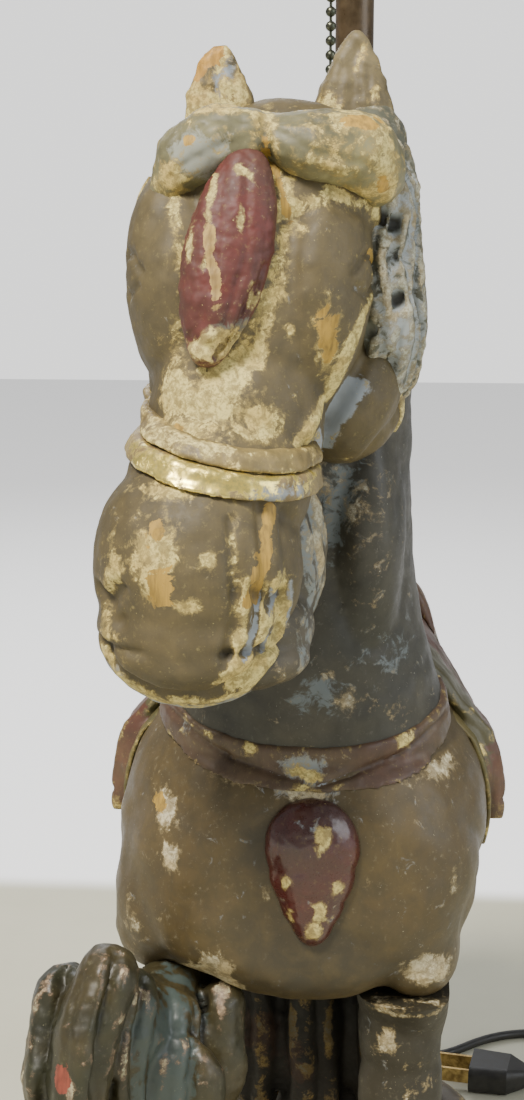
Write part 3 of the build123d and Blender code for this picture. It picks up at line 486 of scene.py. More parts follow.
def goldLeaf(name):
    # gold leaf rubbed through to brown and to the white ground
    material, tree, shader = newMaterial(name)
    group = addNode(tree, "ShaderNodeGroup", node_tree=agedPaint)
    for title, value in (("Paint", (0.22, 0.15, 0.06)), ("Faded", (0.3, 0.23, 0.1)),
            ("Ground", (0.72, 0.62, 0.28)), ("Wood", (0.4, 0.25, 0.08)), ("Grime", (0.06, 0.045, 0.02)),
            ("TintColor", (0.25, 0.27, 0.27))):
        group.inputs[title].default_value = (*value, 1)
    for title, value in (("Flecks", 1.0), ("Dirt", 0.8), ("Gloss", 0.4), ("Shift", (0.02, 0.05, 0.01))):
        group.inputs[title].default_value = value
    for title in ("loss", "bare", "hollow_and_shade", "tint"):
        tree.links.new(attribute(tree, title), group.inputs[title.capitalize()])
    place = tree.nodes.new("ShaderNodeTexCoord").outputs["Object"]
    patch = maths(tree, "ADD", noiseValue(tree, place, 3.0, 7, 0.68, 0.4),
        maths(tree, "MULTIPLY", attribute(tree, "gold"), 0.26))
    leaf = ramp(tree, patch, 0.54, 0.66)
    shine = mixColor(tree, ramp(tree, noiseValue(tree, place, 1.2, 5, 0.7), 0.35, 0.65), (0.95, 0.74, 0.18),
        (0.66, 0.55, 0.18))
    tree.links.new(mixColor(tree, leaf, group.outputs["Color"], shine), shader.inputs["Base Color"])
    tree.links.new(maths(tree, "MULTIPLY", leaf, 0.85), shader.inputs["Metallic"])
    tree.links.new(ramp(tree, leaf, 0.0, 1.0, 0.6, 0.3), shader.inputs["Roughness"])
    addRelief(tree, shader, group.outputs["Height"], 0.5, 0.5)
    return material


def plainFinish(name, color, second, metallic=0.0, rough=0.4, size=4.0, bump=0.15, roughSpread=0.2):
    # small parts: two tones, dull patches and fine relief
    material, tree, shader = newMaterial(name)
    place = tree.nodes.new("ShaderNodeTexCoord").outputs["Object"]
    broad = noiseValue(tree, place, size, 6, 0.6, 0.3)
    fine = noiseValue(tree, place, 0.6, 3, 0.6)
    tone = mixColor(tree, ramp(tree, broad, 0.35, 0.68), color, second)
    tone = mixColor(tree, ramp(tree, fine, 0.55, 0.8, 0, 0.3), tone, second)
    tree.links.new(tone, shader.inputs["Base Color"])
    tree.links.new(ramp(tree, broad, 0.3, 0.75, rough - roughSpread / 2, rough + roughSpread / 2),
        shader.inputs["Roughness"])
    addRelief(tree, shader, fine, bump, 0.2)
    shader.inputs["Metallic"].default_value = metallic
    return material


paints = {
    "brown": ((0.094, 0.07, 0.027), (0.122, 0.092, 0.038), dict(gloss=0.25)),
    # neck: dark paint, darkened further as painted shade of the head's shadow on the neck
    "neck": ((0.031, 0.031, 0.023), (0.052, 0.047, 0.031), dict(flecks=1.0, gloss=0.45, loss=0.06,
        ground=(0.34, 0.33, 0.26), grime=(0.012, 0.011, 0.008), tint=(0.11, 0.13, 0.135))),
    "jaw": ((0.05, 0.043, 0.027), (0.1, 0.08, 0.045), dict(flecks=0.8, gloss=0.4, loss=0.2,
        ground=(0.42, 0.39, 0.27), tint=(0.17, 0.19, 0.18))),
    "chest": ((0.084, 0.057, 0.019), (0.108, 0.075, 0.027), dict(flecks=0.5, gloss=0.5,
        ground=(0.56, 0.5, 0.33))),
    "red": ((0.085, 0.016, 0.012), (0.06, 0.022, 0.017), dict(grime=(0.025, 0.011, 0.009), flecks=0.5,
        gloss=0.8, coat=0.35)),
    "dark": ((0.009, 0.008, 0.005), (0.018, 0.013, 0.007), dict(grime=(0.005, 0.004, 0.003), flecks=0.12,
        gloss=0.12, dirt=0.9, ground=(0.1, 0.09, 0.06), tint=(0.03, 0.014, 0.008))),
    "leg": ((0.045, 0.036, 0.018), (0.085, 0.06, 0.028), dict(grime=(0.012, 0.01, 0.007), flecks=0.8,
        gloss=0.55)),
    # foreleg: the horse's brown, made far darker as painted shade for the leg under the chest
    "foreleg": ((0.022, 0.018, 0.009), (0.031, 0.025, 0.013), dict(flecks=1.0, gloss=0.35,
        ground=(0.5, 0.44, 0.28))),
    "saddle": ((0.1, 0.034, 0.02), (0.13, 0.07, 0.034), dict(flecks=0.4, gloss=0.5, coat=0.1,
        tint=(0.07, 0.062, 0.026))),
    "blanket": ((0.11, 0.1, 0.032), (0.17, 0.13, 0.042), dict(flecks=0.5, gloss=0.4)),
    "strap": ((0.17, 0.12, 0.042), (0.27, 0.2, 0.07), dict(ground=(0.72, 0.6, 0.24), flecks=0.9, gloss=0.4,
        loss=0.34)),
    "plume": ((0.12, 0.022, 0.017), (0.095, 0.042, 0.028), dict(grime=(0.035, 0.014, 0.01),
        wood=(0.46, 0.3, 0.09), flecks=0.9, gloss=0.3, tint=(0.13, 0.12, 0.095))),
    "collar": ((0.085, 0.044, 0.026), (0.098, 0.064, 0.034), dict(grime=(0.022, 0.014, 0.01), flecks=0.7,
        gloss=0.5, tint=(0.2, 0.22, 0.22))),
    "ear": ((0.15, 0.115, 0.05), (0.21, 0.165, 0.075), dict(wood=(0.5, 0.27, 0.045), flecks=1.0,
        gloss=0.3)),
    "forelock": ((0.3, 0.27, 0.125), (0.15, 0.14, 0.07), dict(wood=(0.48, 0.29, 0.05), flecks=1.0,
        gloss=0.4, loss=0.24, tint=(0.27, 0.28, 0.23))),
    "mane": ((0.13, 0.135, 0.095), (0.07, 0.073, 0.05), dict(ground=(0.42, 0.43, 0.34), flecks=1.0,
        gloss=0.35, loss=0.32, tint=(0.3, 0.33, 0.33))),
    "knee": ((0.028, 0.029, 0.014), (0.06, 0.046, 0.018), dict(grime=(0.009, 0.009, 0.006),
        wood=(0.26, 0.06, 0.035), flecks=0.7, gloss=0.6, ground=(0.42, 0.4, 0.24),
        tint=(0.05, 0.066, 0.058))),
    "base": ((0.045, 0.036, 0.018), (0.085, 0.058, 0.026), dict(flecks=0.4, gloss=0.5, loss=0.05)),
}
plainParts = {
    "brass": ("agedBrass", (0.62, 0.44, 0.17), (0.26, 0.17, 0.07), 1.0, 0.38),
    "steel": ("dullSteel", (0.5, 0.5, 0.5), (0.28, 0.27, 0.25), 1.0, 0.42),
    "pipe": ("brownEnamel", (0.055, 0.035, 0.015), (0.085, 0.056, 0.026), 0.3, 0.35),
    "fibre": ("fibrePaper", (0.3, 0.23, 0.15), (0.2, 0.15, 0.09), 0.0, 0.8),
    "phenolic": ("blackMoulding", (0.02, 0.018, 0.016), (0.04, 0.035, 0.03), 0.0, 0.35),
    "cap": ("bulbAluminium", (0.75, 0.75, 0.75), (0.55, 0.55, 0.54), 1.0, 0.3),
    "frost": ("frostedGlass", (0.9, 0.89, 0.85), (0.84, 0.83, 0.78), 0.0, 0.32, 14.0, 0.04, 0.06),
    "rubber": ("blackRubber", (0.018, 0.017, 0.015), (0.035, 0.032, 0.027), 0.0, 0.5),
    "board": ("hardboard", (0.3, 0.2, 0.11), (0.22, 0.14, 0.075), 0.0, 0.8),
    "chainDark": ("tarnishedChain", (0.1, 0.1, 0.07), (0.045, 0.055, 0.04), 0.9, 0.4, 1.5),
}
finishes = {key: plainFinish(*facts) for key, facts in plainParts.items()}
for key, (paint, faded, more) in paints.items():
    finishes[key] = paintedWood(key + "Paint", paint, faded, **more)
finishes["gold"] = goldLeaf("goldLeaf")
finishes["wood"] = paintedWood("rawWood", (0.45, 0.29, 0.13), (0.38, 0.22, 0.09), flecks=0.0, gloss=0.1)
finishes["frost"].node_tree.nodes["Principled BSDF"].inputs["Transmission Weight"].default_value = 0.45


def makeFloor():
    clearPick()
    bpy.ops.mesh.primitive_plane_add(size=2 * stageSizes["floorHalf"] * mm)
    floor = bpy.context.object
    floor.name = "floor"
    material, tree, shader = newMaterial("paleFloor")
    sizes = {key: stageSizes[key] * mm for key in ("tableBack", "fadeFrom", "fadeTo")}
    place = tree.nodes.new("ShaderNodeTexCoord").outputs["Object"]
    patches = noiseValue(tree, place, stageSizes["clothPatches"], 5, 0.6)
    tone = mixColor(tree, ramp(tree, patches, 0.3, 0.7), *stageSizes["cloth"])
    back = addNode(tree, "ShaderNodeSeparateXYZ", Vector=place)
    far = ramp(tree, back.outputs["Y"], sizes["tableBack"], sizes["tableBack"] + 25 * mm)
    reach = addNode(tree, "ShaderNodeVectorMath", operation="LENGTH")
    tree.links.new(place, reach.inputs[0])
    around = ramp(tree, reach.outputs["Value"], sizes["fadeFrom"], sizes["fadeTo"])
    far = maths(tree, "MAXIMUM", far, around)
    tone = mixColor(tree, far, tone, (0.93, 0.93, 0.93))
    glow = mixColor(tree, far, (0, 0, 0), (1, 1, 1))
    tree.links.new(glow, shader.inputs["Emission Color"])
    shader.inputs["Emission Strength"].default_value = stageSizes["farGlow"]
    tree.links.new(tone, shader.inputs["Base Color"])
    shader.inputs["Roughness"].default_value = 0.75
    floor.data.materials.append(material)


makeFloor()
print("floor and finishes made")

# cord
cordFacts = {
    "radius": 2.0,
    "length": 1.8,
    "exit": (12, 155, 6),
    "out": [(12, 155, 6), (12, 167.5, 6), (21, 176, 3.6), (36, 178.5, 2.1), (54, 180, 2.1),
        (76, 200.5, 2.1), (98, 207, 2.1), (124, 205, 2.1), (148, 201, 2.1)],
    "over": [(180, 159.5, 11.4), (175, 151, 13.7), (166, 146, 12.2)],
    "back": [(152, 143.6, 6.4), (139, 142, 2.4), (124, 145, 3.0), (108.74, 154.05, 6.1), (92, 157, 6.1)],
    "coilMiddle": (168, 176),
    "turnPoints": 12,
    "turns": 10.5,
    "ringRadii": [17.3, 21.1, 24.8, 28.2],
    "layerHeights": [2.15, 6.1, 10.0],
    "startAngle": 112,
    "stepOut": 0.6,             # share of a turn after which the cord moves to the next ring
}


def coilPoints():
    # the turns lie beside and on each other: rings out, then in a layer up
    points = []
    x, y = cordFacts["coilMiddle"]
    perTurn = cordFacts["turnPoints"]
    radii = cordFacts["ringRadii"]
    turns = []
    for layer, height in enumerate(cordFacts["layerHeights"]):
        for radius in (reversed(radii) if layer % 2 == 0 else radii):
            turns.append((radius, height))
    start = math.radians(cordFacts["startAngle"])
    stepOut = cordFacts["stepOut"]
    for count in range(int(cordFacts["turns"] * perTurn)):
        number, step = divmod(count, perTurn)
        (radius, height), (nextRadius, nextHeight) = turns[number:number + 2]
        ease = max(0.0, (step / perTurn - stepOut) / (1 - stepOut))
        angle = start - 2 * math.pi * step / perTurn
        r = radius + (nextRadius - radius) * ease
        points.append((x + r * math.cos(angle), y + r * math.sin(angle),
            height + (nextHeight - height) * ease))
    return points


def makeCord():
    points = cordFacts["out"] + coilPoints() + cordFacts["over"] + cordFacts["back"]
    curve = bpy.data.curves.new("lampCord", "CURVE")
    curve.dimensions = "3D"
    spline = curve.splines.new("NURBS")
    spline.points.add(len(points) - 1)
    for point, place in zip(spline.points, points):
        point.co = (*[value * mm for value in place], 1)
    spline.order_u = 3
    spline.use_endpoint_u = True
    spline.resolution_u = 5
    curve.bevel_depth = cordFacts["radius"] * mm
    curve.bevel_resolution = 5
    curve.use_fill_caps = True
    cord = bpy.data.objects.new("lampCord", curve)
    bpy.context.collection.objects.link(cord)
    cord.data.materials.append(finishes["rubber"])
    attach(cord, "lamp")
    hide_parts("power_cord", "plug_cord", "cord_coil")


makeCord()
print("cord laid")

# blocking out from the frame's own solids
def duplicate(piece, name):
    copy = bpy.data.objects.new(name, piece.data.copy())
    copy.data.name = name
    bpy.context.collection.objects.link(copy)
    return copy


def editAll(piece, tool, **settings):
    pick(piece)
    bpy.ops.object.mode_set(mode="EDIT")
    bpy.ops.mesh.select_all(action="SELECT")
    tool(**settings)
    bpy.ops.object.mode_set(mode="OBJECT")


def copyNode(*names):
    copies = [duplicate(nodes[name], name + "Copy") for name in names]
    for copy in copies:
        copy.data.materials.clear()
        editAll(copy, bpy.ops.mesh.remove_doubles, threshold=0.02 * mm)
    return copies


def cutAway(piece, at, normal):
    # keeps what lies against the normal, and closes the cut
    editAll(piece, bpy.ops.mesh.bisect, plane_co=[value * mm for value in at], plane_no=normal,
        use_fill=True, clear_outer=True)


def bandAround(piece, name, at, normal, height, lift, voxel=0.6, edge=0.35):
    # a strap round a carved form: a slice of it, swollen outwards
    normal = Vector(normal).normalized()
    band = duplicate(piece, name)
    half = height / 2
    cutAway(band, [a + n * half for a, n in zip(at, normal)], normal)
    cutAway(band, [a - n * half for a, n in zip(at, normal)], -normal)
    points, normals = readPoints(band), readNormals(band)
    flat = normals - (normals @ np.array(normal))[:, None] * np.array(normal)
    flat /= np.maximum(np.linalg.norm(flat, axis=1), 0.3)[:, None]
    inside = np.abs((points - np.array(at)) @ np.array(normal)) / half
    rounding = 1 - edge * np.clip((inside - 0.6) / 0.4, 0, 1) ** 2
    writePoints(band, points + flat * (lift * rounding)[:, None])
    useModifier(band, "REMESH", mode="VOXEL", voxel_size=voxel * mm)
    useModifier(band, "SMOOTH", factor=0.5, iterations=2)
    return band


# head
headForm = {
    "voxel": 0.9,
    "lumps": [
        ((-5, -83, 404), (26, 20, 19)), ((-8, -88, 393), (31, 26, 24)), ((-30, -92, 373), (17, 25, 34),
        (0, -4, 0)), ((3, -95, 372), (17, 24, 35), (0, 6, 0)), ((-12, -97, 366), (24, 24.5, 44)),
        ((11, -80, 343), (18, 20, 20)), ((13, -76, 372), (14, 18, 30)), ((-24, -86, 350), (18, 21, 28)),
        ((-16, -103, 338), (24, 24, 30)), ((-20, -112, 322), (25, 25, 24)),
        ((-25, -120, 302), (28, 27, 32)), ((-26, -121, 286), (26, 25.5, 22)),
        ((16.5, -94, 378), (4.4, 5.5, 4.4)), ((-42.4, -97, 377), (4.4, 5.5, 4.4)),
    ],
}
head = fuse("headCarving", balls(headForm["lumps"]), headForm["voxel"], 14)
for cut in (
    # the channel beside the plume
    ([(-8, 416), (-4, 400), (-1, 388), (-4, 371), (-14, 355)], 4.5, 1.3),
    ([(-33, 400), (-35, 392), (-40, 384)], 3, 1),
    # under the forelock
    ([(-1, 391), (9, 396), (19, 392), (23, 380)], 2.4, 1.1),
    # raised edge of the cheek strap
    ([(20, 371), (11.6, 352), (2.5, 334)], 1.6, -1.3),
    ([(24, 366), (15.5, 349), (6, 333)], 2, 1.3),
    ([(31, 348), (26, 335), (14, 321)], 1.5, 1.6),
    # the lips
    ([(-50, 284), (-43, 276.5), (-33, 272.5), (-20, 272), (-9, 277.5), (-3, 287)], 1.5, 2),
    ([(-46, 287), (-40, 281), (-32, 278), (-20, 278), (-12, 282)], 3, -0.8),
    # flutes beside the mouth
    ([(-14, 318), (-12.5, 297), (-15, 281)], 1.7, 1.5),
    ([(-7.5, 321), (-5.4, 303), (-9, 284)], 1.5, 1.3),
    ([(-1.8, 318), (-0.2, 303), (-3, 286)], 1.4, 1.3),
):
    carve(head, *cut)
for side in ("left", "right"):
    carve(head, [(-111, 378), (-106, 382), (-100, 382), (-96, 377)], 1.4, 1.5, side)      # eyelids
    carve(head, [(-110, 374), (-104, 371), (-97, 374)], 1.3, 1.2, side)
    carve(head, [(-140, 300), (-136, 295), (-131, 297)], 2.2, 2.6, side)                  # nostril
    # corner of the mouth
    carve(head, [(-143, 284), (-128, 283), (-112, 290)], 1.4, 1.6, side)
    carve(head, [(-80, 372), (-74, 352), (-84, 336)], 2.5, 1.5, side)                     # round the jowl
roughen(head, 9, 0.35, 1)
for x, z, width, depth in ((-43, 291, 2.2, 1.6), (-35, 303, 4.5, -0.5), (4, 333.5, 1.4, 2.2)):
    carve(head, [(x, z), (x + 0.3, z + 0.3)], width, depth)
markHollows(head)
for stroke in (
    ([(-9, 417), (-4, 401), (-1.5, 388), (-5, 371), (-15, 353)], 3.6, 1.05),
    ([(-30, 405), (-32, 396), (-27, 372), (-30, 358)], 2.5, 0.75),
    ([(-1, 392), (9, 398), (19, 394), (24, 383)], 2.4, 0.95),
    ([(20, 371), (11.6, 352), (2.5, 334)], 1.6, 1.3),
    ([(-48, 281), (-43, 273), (-32, 269), (-19, 268), (-8, 273), (-2, 283)], 3, 0.85),
):
    strokes(head, "loss", *stroke)
for across in (-11, -7, -3):
    strokes(head, "loss", [(across + 1, 303), (across, 290), (across - 4, 274)], 1.1, 0.9)
    strokes(head, "tint", [(across + 3, 300), (across + 2, 288), (across - 2, 276)], 1.2, 0.8)
for stroke in (
    ("loss", [(-14, 318), (-13, 297), (-14.4, 276)], 1.6, 0.9),
    ("loss", [(-2, 300), (-3, 288), (-8, 278)], 2.6, 1),
    ("tint", [(15, 346), (9.5, 338), (4.5, 331)], 3, 1.5),
    ("tint", [(-46, 276), (-43, 271), (-32, 267), (-19, 266.5), (-8, 271)], 3, 0.9),
    ("bare", [(-5.2, 320), (-6.2, 307), (-9.6, 297)], 1.7, 1.35),
    ("bare", [(-9, 414), (-5, 403), (-1.5, 391)], 1.3, 1),
):
    strokes(head, *stroke)
spots(head, "loss", [
    (-32, 350, 4, 8, 0.95), (-23, 345, 9, 7, 1.3), (-8, 340, 8, 5, 1.15), (4, 335, 6, 3, 0.95),
    (-17, 353, 6, 4, 1), (8.5, 360, 3.6, 11, 1.15), (-33, 308, 6, 10, 1.3), (-44, 305, 3, 8, 0.95),
    (-24, 297, 4, 1.8, 1.3), (-19.5, 309, 2.2, 2.4, 1.3), (-13, 277, 4.5, 3, 1.5), (-33, 325, 8, 3, 0.9),
    (-8, 357, 2, 3, 1.3), (-8, 326, 12, 3.5, 1.05), (-1, 363, 1.5, 3, 1.2), (21, 382, 2, 6, 1.25),
    (-45, 350, 2.5, 5, 0.9), (-47, 291, 3, 6, 0.9), (-28, 336, 6, 4, 1), (-12, 357, 2.4, 2, 1),
])
spots(head, "bare", [(8.5, 362, 3, 8, 1.3), (-31, 302, 3.5, 6, 1.3), (-33, 316, 2.5, 3, 1.2),
    (-29, 338, 2, 2, 1.3), (19, 383, 1.6, 5, 1)])
finishPiece(head, "brown", "horse_paint", "head")

jawForm = {"voxel": 0.9, "lumps": [
    ((-13, -104, 302), (22.5, 18, 31)), ((-15, -112, 284), (21, 20, 16)), ((-13, -95, 322), (20, 14, 16)),
    ((-17, -119, 277), (22, 16, 9)),
]}
jaw = fuse("lowerJaw", balls(jawForm["lumps"]), jawForm["voxel"], 12)
carve(jaw, [(5, 318), (8, 296), (6, 276)], 1.5, 1.2)
carve(jaw, [(-112, 322), (-104, 300), (-108, 276)], 3.5, 1.2, "left")
roughen(jaw, 8, 0.35, 2)
strokes(jaw, "loss", [(6, 318), (9, 296), (7, 276)], 3, 1)
strokes(jaw, "tint", [(6, 318), (9, 296), (7, 276)], 5, 1.2)
finishPiece(jaw, "jaw", "horse_paint", "lower_jaw")
print("head carved")

# bridle
bridle = {"voxel": 0.55, "upper": 5, "lower": 6.2, "lift": 2.2}
upperAt, lowerAt = (-18, -105, 336), (-17.5, -105, 329.8)
bandTilt = (0.2, -0.09, 1)
bandEnd = (5, -108, 330), (0.85, 0.5, 0)
noseband = bandAround(head, "nosebandUpper", upperAt, bandTilt, bridle["upper"], bridle["lift"],
    bridle["voxel"])
cutAway(noseband, *bandEnd)
roughen(noseband, 5, 0.3, 3)
spots(noseband, "loss", [(-14, 337, 16, 4, 0.7), (-36, 338, 6, 5, 0.5)])
finishPiece(noseband, "strap", "strap_paint", "noseband")
goldBand = bandAround(head, "nosebandLower", lowerAt, bandTilt, bridle["lower"], bridle["lift"] + 0.4,
    bridle["voxel"])
cutAway(goldBand, *bandEnd)
roughen(goldBand, 5, 0.3, 4)
spots(goldBand, "gold", [(-17, 329, 17, 5, 1.2), (-36, 330, 6, 4, 0.6)])
spots(goldBand, "tint", [(-38, 325, 7, 3, 0.6), (-4, 323, 7, 3, 0.8)])
spots(goldBand, "loss", [(-22, 331, 20, 4, 0.9)])
finishPiece(goldBand, "gold", "strap_paint", "nose_strap")
cheekStrap = bandAround(head, "cheekStraps", (0, -80, 360), (0, 1, 0.18), 8, 1, bridle["voxel"])
cutAway(cheekStrap, (0, -90, 332), (0, 0, -1))
cutAway(cheekStrap, (0, -90, 402), (0, 0, 1))
for side in ("left", "right"):
    spots(cheekStrap, "loss", [(-86, 365, 10, 40, 0.5)], side)
finishPiece(cheekStrap, "strap", "strap_paint", "cheek_straps")

# plume on the brow
plumeForm = {"voxel": 0.5, "at": (-16.8, -118.5, 383), "half": (11.3, 8, 27.5), "turn": (-13, 12, 0)}
plume = fuse("browPlume", [
    ball(plumeForm["at"], plumeForm["half"], plumeForm["turn"], 4),
    ball((-21, -123, 362), (6, 6, 8), (0, 14, 0)),
], plumeForm["voxel"], 4)
carve(plume, [(-12, 404), (-11, 385), (-18, 360)], 1.2, 0.7)
carve(plume, [(-18, 404), (-19, 385), (-24, 362)], 1.4, 0.5)
carve(plume, [(-9, 375), (-14, 364), (-19, 357)], 0.8, 1.4)
carve(plume, [(-7, 380), (-11, 367), (-16, 358)], 0.7, 1)
carve(plume, [(-26, 361), (-20, 359), (-15, 362)], 2, 1.2)
roughen(plume, 4, 0.4, 5)
strokes(plume, "loss", [(-20, 402), (-21.5, 394), (-20, 386), (-22, 380)], 1.2, 1.1)
strokes(plume, "loss", [(-14, 404), (-11, 402)], 1.2, 1.1)
spots(plume, "loss", [(-26, 384, 1.6, 5, 1.2), (-16, 361, 7, 4.5, 1.35), (-13, 392, 1.2, 4, 0.9),
    (-10, 372, 2, 4, 0.9), (-22, 359, 6, 3, 1.3)])
spots(plume, "bare", [(-21, 386, 1.6, 7, 1.3), (-19, 375, 1.4, 5, 1.1)])
spots(plume, "tint", [(-14, 362, 7, 5, 1.2)])
finishPiece(plume, "plume", "red_paint", "plume")

# ears, forelock and mane
hairForm = {
    "voxel": 0.75,
    "rightEar": [((-22, -83, 412), (11, 6.5, 8)), ((-22, -84, 423), (9.4, 5.8, 6)),
        ((-22.3, -85, 430), (6, 4.4, 4.5)), ((-22.2, -85.5, 434.2), (3.2, 3.2, 2.6))],
    "leftEar": [((13, -75, 406), (13.5, 9, 8)), ((13.5, -74.5, 419), (12.2, 7.5, 7)),
        ((14, -74, 430), (7.6, 5.4, 6)), ((14.4, -73.5, 437.4), (3.2, 3.2, 4))],
    "forelock": [((-9, -106, 412), (7, 9, 7)), ((-21, -106.5, 411), (9, 10, 9.5)),
        ((-30, -104, 406), (7.5, 10, 9.5)), ((-34, -100, 399), (5, 8, 7))],
    "forelockLeft": [((-5, -107, 411), (6, 9, 7)), ((5, -107, 409.5), (10, 11, 9.5)),
        ((15, -103, 408.5), (11, 12, 10.5)), ((20.5, -96, 404), (8, 12, 10))],
    "mane": [((19, -75, 413), (9, 13, 9)), ((21, -80, 398), (12, 15, 12)),
        ((21.5, -82, 381), (12.6, 16, 13)), ((23, -81, 363), (13.2, 16, 13)),
        ((23, -76, 349), (10.8, 14, 9)), ((21, -69, 340), (7, 9, 6))],
    "crest": [((0, -52, 406), (15, 10, 9)), ((2, -45, 388), (16, 11, 12)), ((3, -40, 352), (16, 11, 14)),
        ((2, -36, 310), (15, 10, 13)), ((0, -28, 274), (12, 8, 8))],
}
for key, node, place in (("rightEar", "ear_right", -22), ("leftEar", "ear_left", 14)):
    ear = fuse(key, chain(hairForm[key], 0.35), 0.7, 4)
    carve(ear, [(place, 436), (place - 0.5, 420)], 2.6, 1.8)
    carve(ear, [(place + 3.5, 431), (place + 5, 418)], 1.2, 0.7)
    carve(ear, [(place - 3.5, 431), (place - 5.5, 418)], 1.2, 0.7)
    roughen(ear, 5, 0.6, place)
    strokes(ear, "loss", [(place + 2, 436), (place, 430)], 1.5, 0.9)
    spots(ear, "loss", [(place - 7, 421, 4, 5, 1.1), (place + 6, 424, 2, 6, 0.7)])
    if key == "rightEar":
        spots(ear, "loss", [(place, 422, 9, 8, 0.95)])
        spots(ear, "bare", [(-25, 434, 4, 3.5, 1.8), (-28, 429, 2.2, 2.4, 1.2)])
        spots(ear, "tint", [(-21, 427, 3, 8, 1)])
    finishPiece(ear, "ear", "horse_paint", node)

forelock = fuse("forelock", chain(hairForm["forelock"], 0.35) + chain(hairForm["forelockLeft"], 0.35),
    hairForm["voxel"], 5)
for drop in (2, 9):
    carve(forelock, [(-9, 417 - drop * 0.5), (-20, 418 - drop), (-30, 413 - drop), (-36, 405 - drop)], 1.2,
        0.45)
    carve(forelock, [(-5, 417 - drop * 0.4), (6, 417.5 - drop * 1.1), (17, 414 - drop), (26, 407 - drop)],
        1.2, 0.4)
carve(forelock, [(-7.5, 422), (-8, 412), (-7, 402)], 1.8, 1.8)
roughen(forelock, 6, 0.5, 6)
spots(forelock, "loss", [(-20, 419, 12, 2, 0.9), (-32, 402, 4, 5, 1.1), (17, 417, 9, 3, 1.5),
    (23, 404, 3, 8, 1.2), (-8, 414, 2.5, 8, 0.9), (10, 408, 9, 5, 0.6), (14, 398, 9, 2, 0.9)])
spots(forelock, "bare", [(18, 415.5, 6, 2, 1.6), (-27, 411, 2, 1.6, 1.1), (22, 400, 2, 4, 0.9),
    (-8, 408, 1.6, 6, 0.9)])
spots(forelock, "tint", [(-26, 407, 9, 6, 1)])
finishPiece(forelock, "forelock", "hair_paint", "forelock")

mane = fuse("mane", chain(hairForm["mane"], 0.35) + chain(hairForm["crest"], 0.4), 0.9, 6)
for step in range(5):
    shift = step * 4.5
    carve(mane, [(-92 + shift, 412), (-86 + shift, 392), (-91 + shift, 372), (-84 + shift, 352),
        (-80 + shift, 338)], 1.3, 1.5, "left")
for across in (17, 22, 27, 31.5):
    carve(mane, [(across - 4, 414), (across, 396), (across - 2.5, 380), (across + 1.5, 362),
        (across - 2, 345)], 1.1, 1.2)
for x, z in ((21.6, 391), (25.2, 389.5), (26, 381), (20.6, 361.5), (27, 369), (24, 352)):
    carve(mane, [(x, z), (x + 0.4, z + 1.2)], 1.7, 3.4)
for across in (-9, -3, 3, 9):
    carve(mane, [(across, 408), (across * 1.2 + 3, 370), (across * 1.1, 330), (across * 0.8 + 1, 285)], 1.6,
        1.4, "back")
roughen(mane, 6, 0.6, 7)
spots(mane, "loss", [(27, 380, 10, 40, 0.28)])
spots(mane, "tint", [(27, 395, 9, 14, 0.8), (28, 362, 9, 18, 0.9)])
finishPiece(mane, "mane", "hair_paint", "mane")
print("mane, ears and bridle carved")

# neck and trunk
neck = fuse("neck", copyNode("neck") + balls([((18, -70, 300), (12, 15, 40)),
    ((-16, -70, 300), (12, 14, 40))]), 1.1, 8)
carve(neck, [(30, 338), (32, 300), (36, 262)], 5, 0.6)
roughen(neck, 14, 0.6, 8)
spots(neck, "loss", [(12, 310, 12, 12, 0.42), (8, 262, 3, 2, 0.8), (13, 254, 4, 3, 0.9),
    (27, 250, 9, 5, 0.3), (4, 322, 8, 8, 0.5)])
spots(neck, "tint", [(8, 314, 12, 18, 0.6), (6, 256, 7, 7, 0.7), (26, 268, 8, 10, 0.4)])
finishPiece(neck, "neck", "horse_paint", "neck")

trunkForm = {"voxel": 1.5, "lumps": [
    ((-25, -68, 186), (28, 21, 25)), ((22, -68, 186), (27, 21, 25)), ((-41, -50, 198), (18, 27, 31)),
    ((37, -50, 202), (17, 27, 32)), ((-42, -56, 183), (17, 25, 22)), ((33, -54, 184), (18, 27, 26)),
    ((24, -60, 180), (20, 25, 21)), ((-46, -56, 172), (13, 19, 14)), ((36, -58, 169), (14, 24, 15)),
    ((46, -46, 190), (9, 20, 24)), ((32, 98, 196), (21, 32, 32)), ((-32, 90, 196), (21, 32, 32)),
    ((0, 112, 222), (28, 22, 24)),
]}
trunk = fuse("trunk", copyNode("trunk_left", "trunk_right") + balls(trunkForm["lumps"]), trunkForm["voxel"],
    28)
carve(trunk, [(-48, 186), (-36, 166), (-22, 160)], 3, 1)
for side in ("left", "right"):
    carve(trunk, [(-70, 214), (-46, 190), (-40, 168)], 5, 1.4, side)
carve(trunk, [(70, 226), (64, 196), (74, 170)], 6, 1.6, "left")
carve(trunk, [(66, 226), (58, 196), (68, 170)], 6, 1.6, "right")
roughen(trunk, 20, 0.9, 9)
spots(trunk, "loss", [
    (-40, 219, 4, 5, 1.3), (-38, 206, 3, 4, 1.4), (-24, 171, 6, 6, 2.4), (-33, 167, 5, 3, 1.8),
    (38, 171, 8, 5, 2.4), (-20, 163, 6, 3, 1.6), (-9, 196, 2.2, 5, 1.25), (-6, 184, 2, 4, 1.1),
    (31, 232, 3, 3, 1.2), (42, 230, 5, 3, 1.2), (-18, 232, 9, 5, 1), (2, 226, 8, 4, 1.1),
    (46, 196, 3, 6, 0.8), (-50, 180, 3, 6, 0.7), (20, 200, 4, 4, 0.8), (-26, 158, 5, 3, 1.1),
])
spots(trunk, "bare", [(-42, 219, 2.5, 3, 1.3)])
flankChips = [(62, 206, 7, 4, 1.2), (96, 232, 5, 6, 1.1), (122, 192, 4, 7, 1.3), (-12, 180, 8, 3, 1.2),
    (30, 174, 10, 3, 1)]
for side, shift in (("left", 0), ("right", -9)):
    spots(trunk, "loss", [(across + shift, up + shift / 2, wide, high, much) for across, up, wide, high,
        much in flankChips], side)
spots(trunk, "loss", [(12, 204, 6, 5, 1.2), (-18, 222, 5, 4, 1.1), (26, 178, 4, 7, 1.2),
    (-30, 186, 5, 4, 1)], "back")
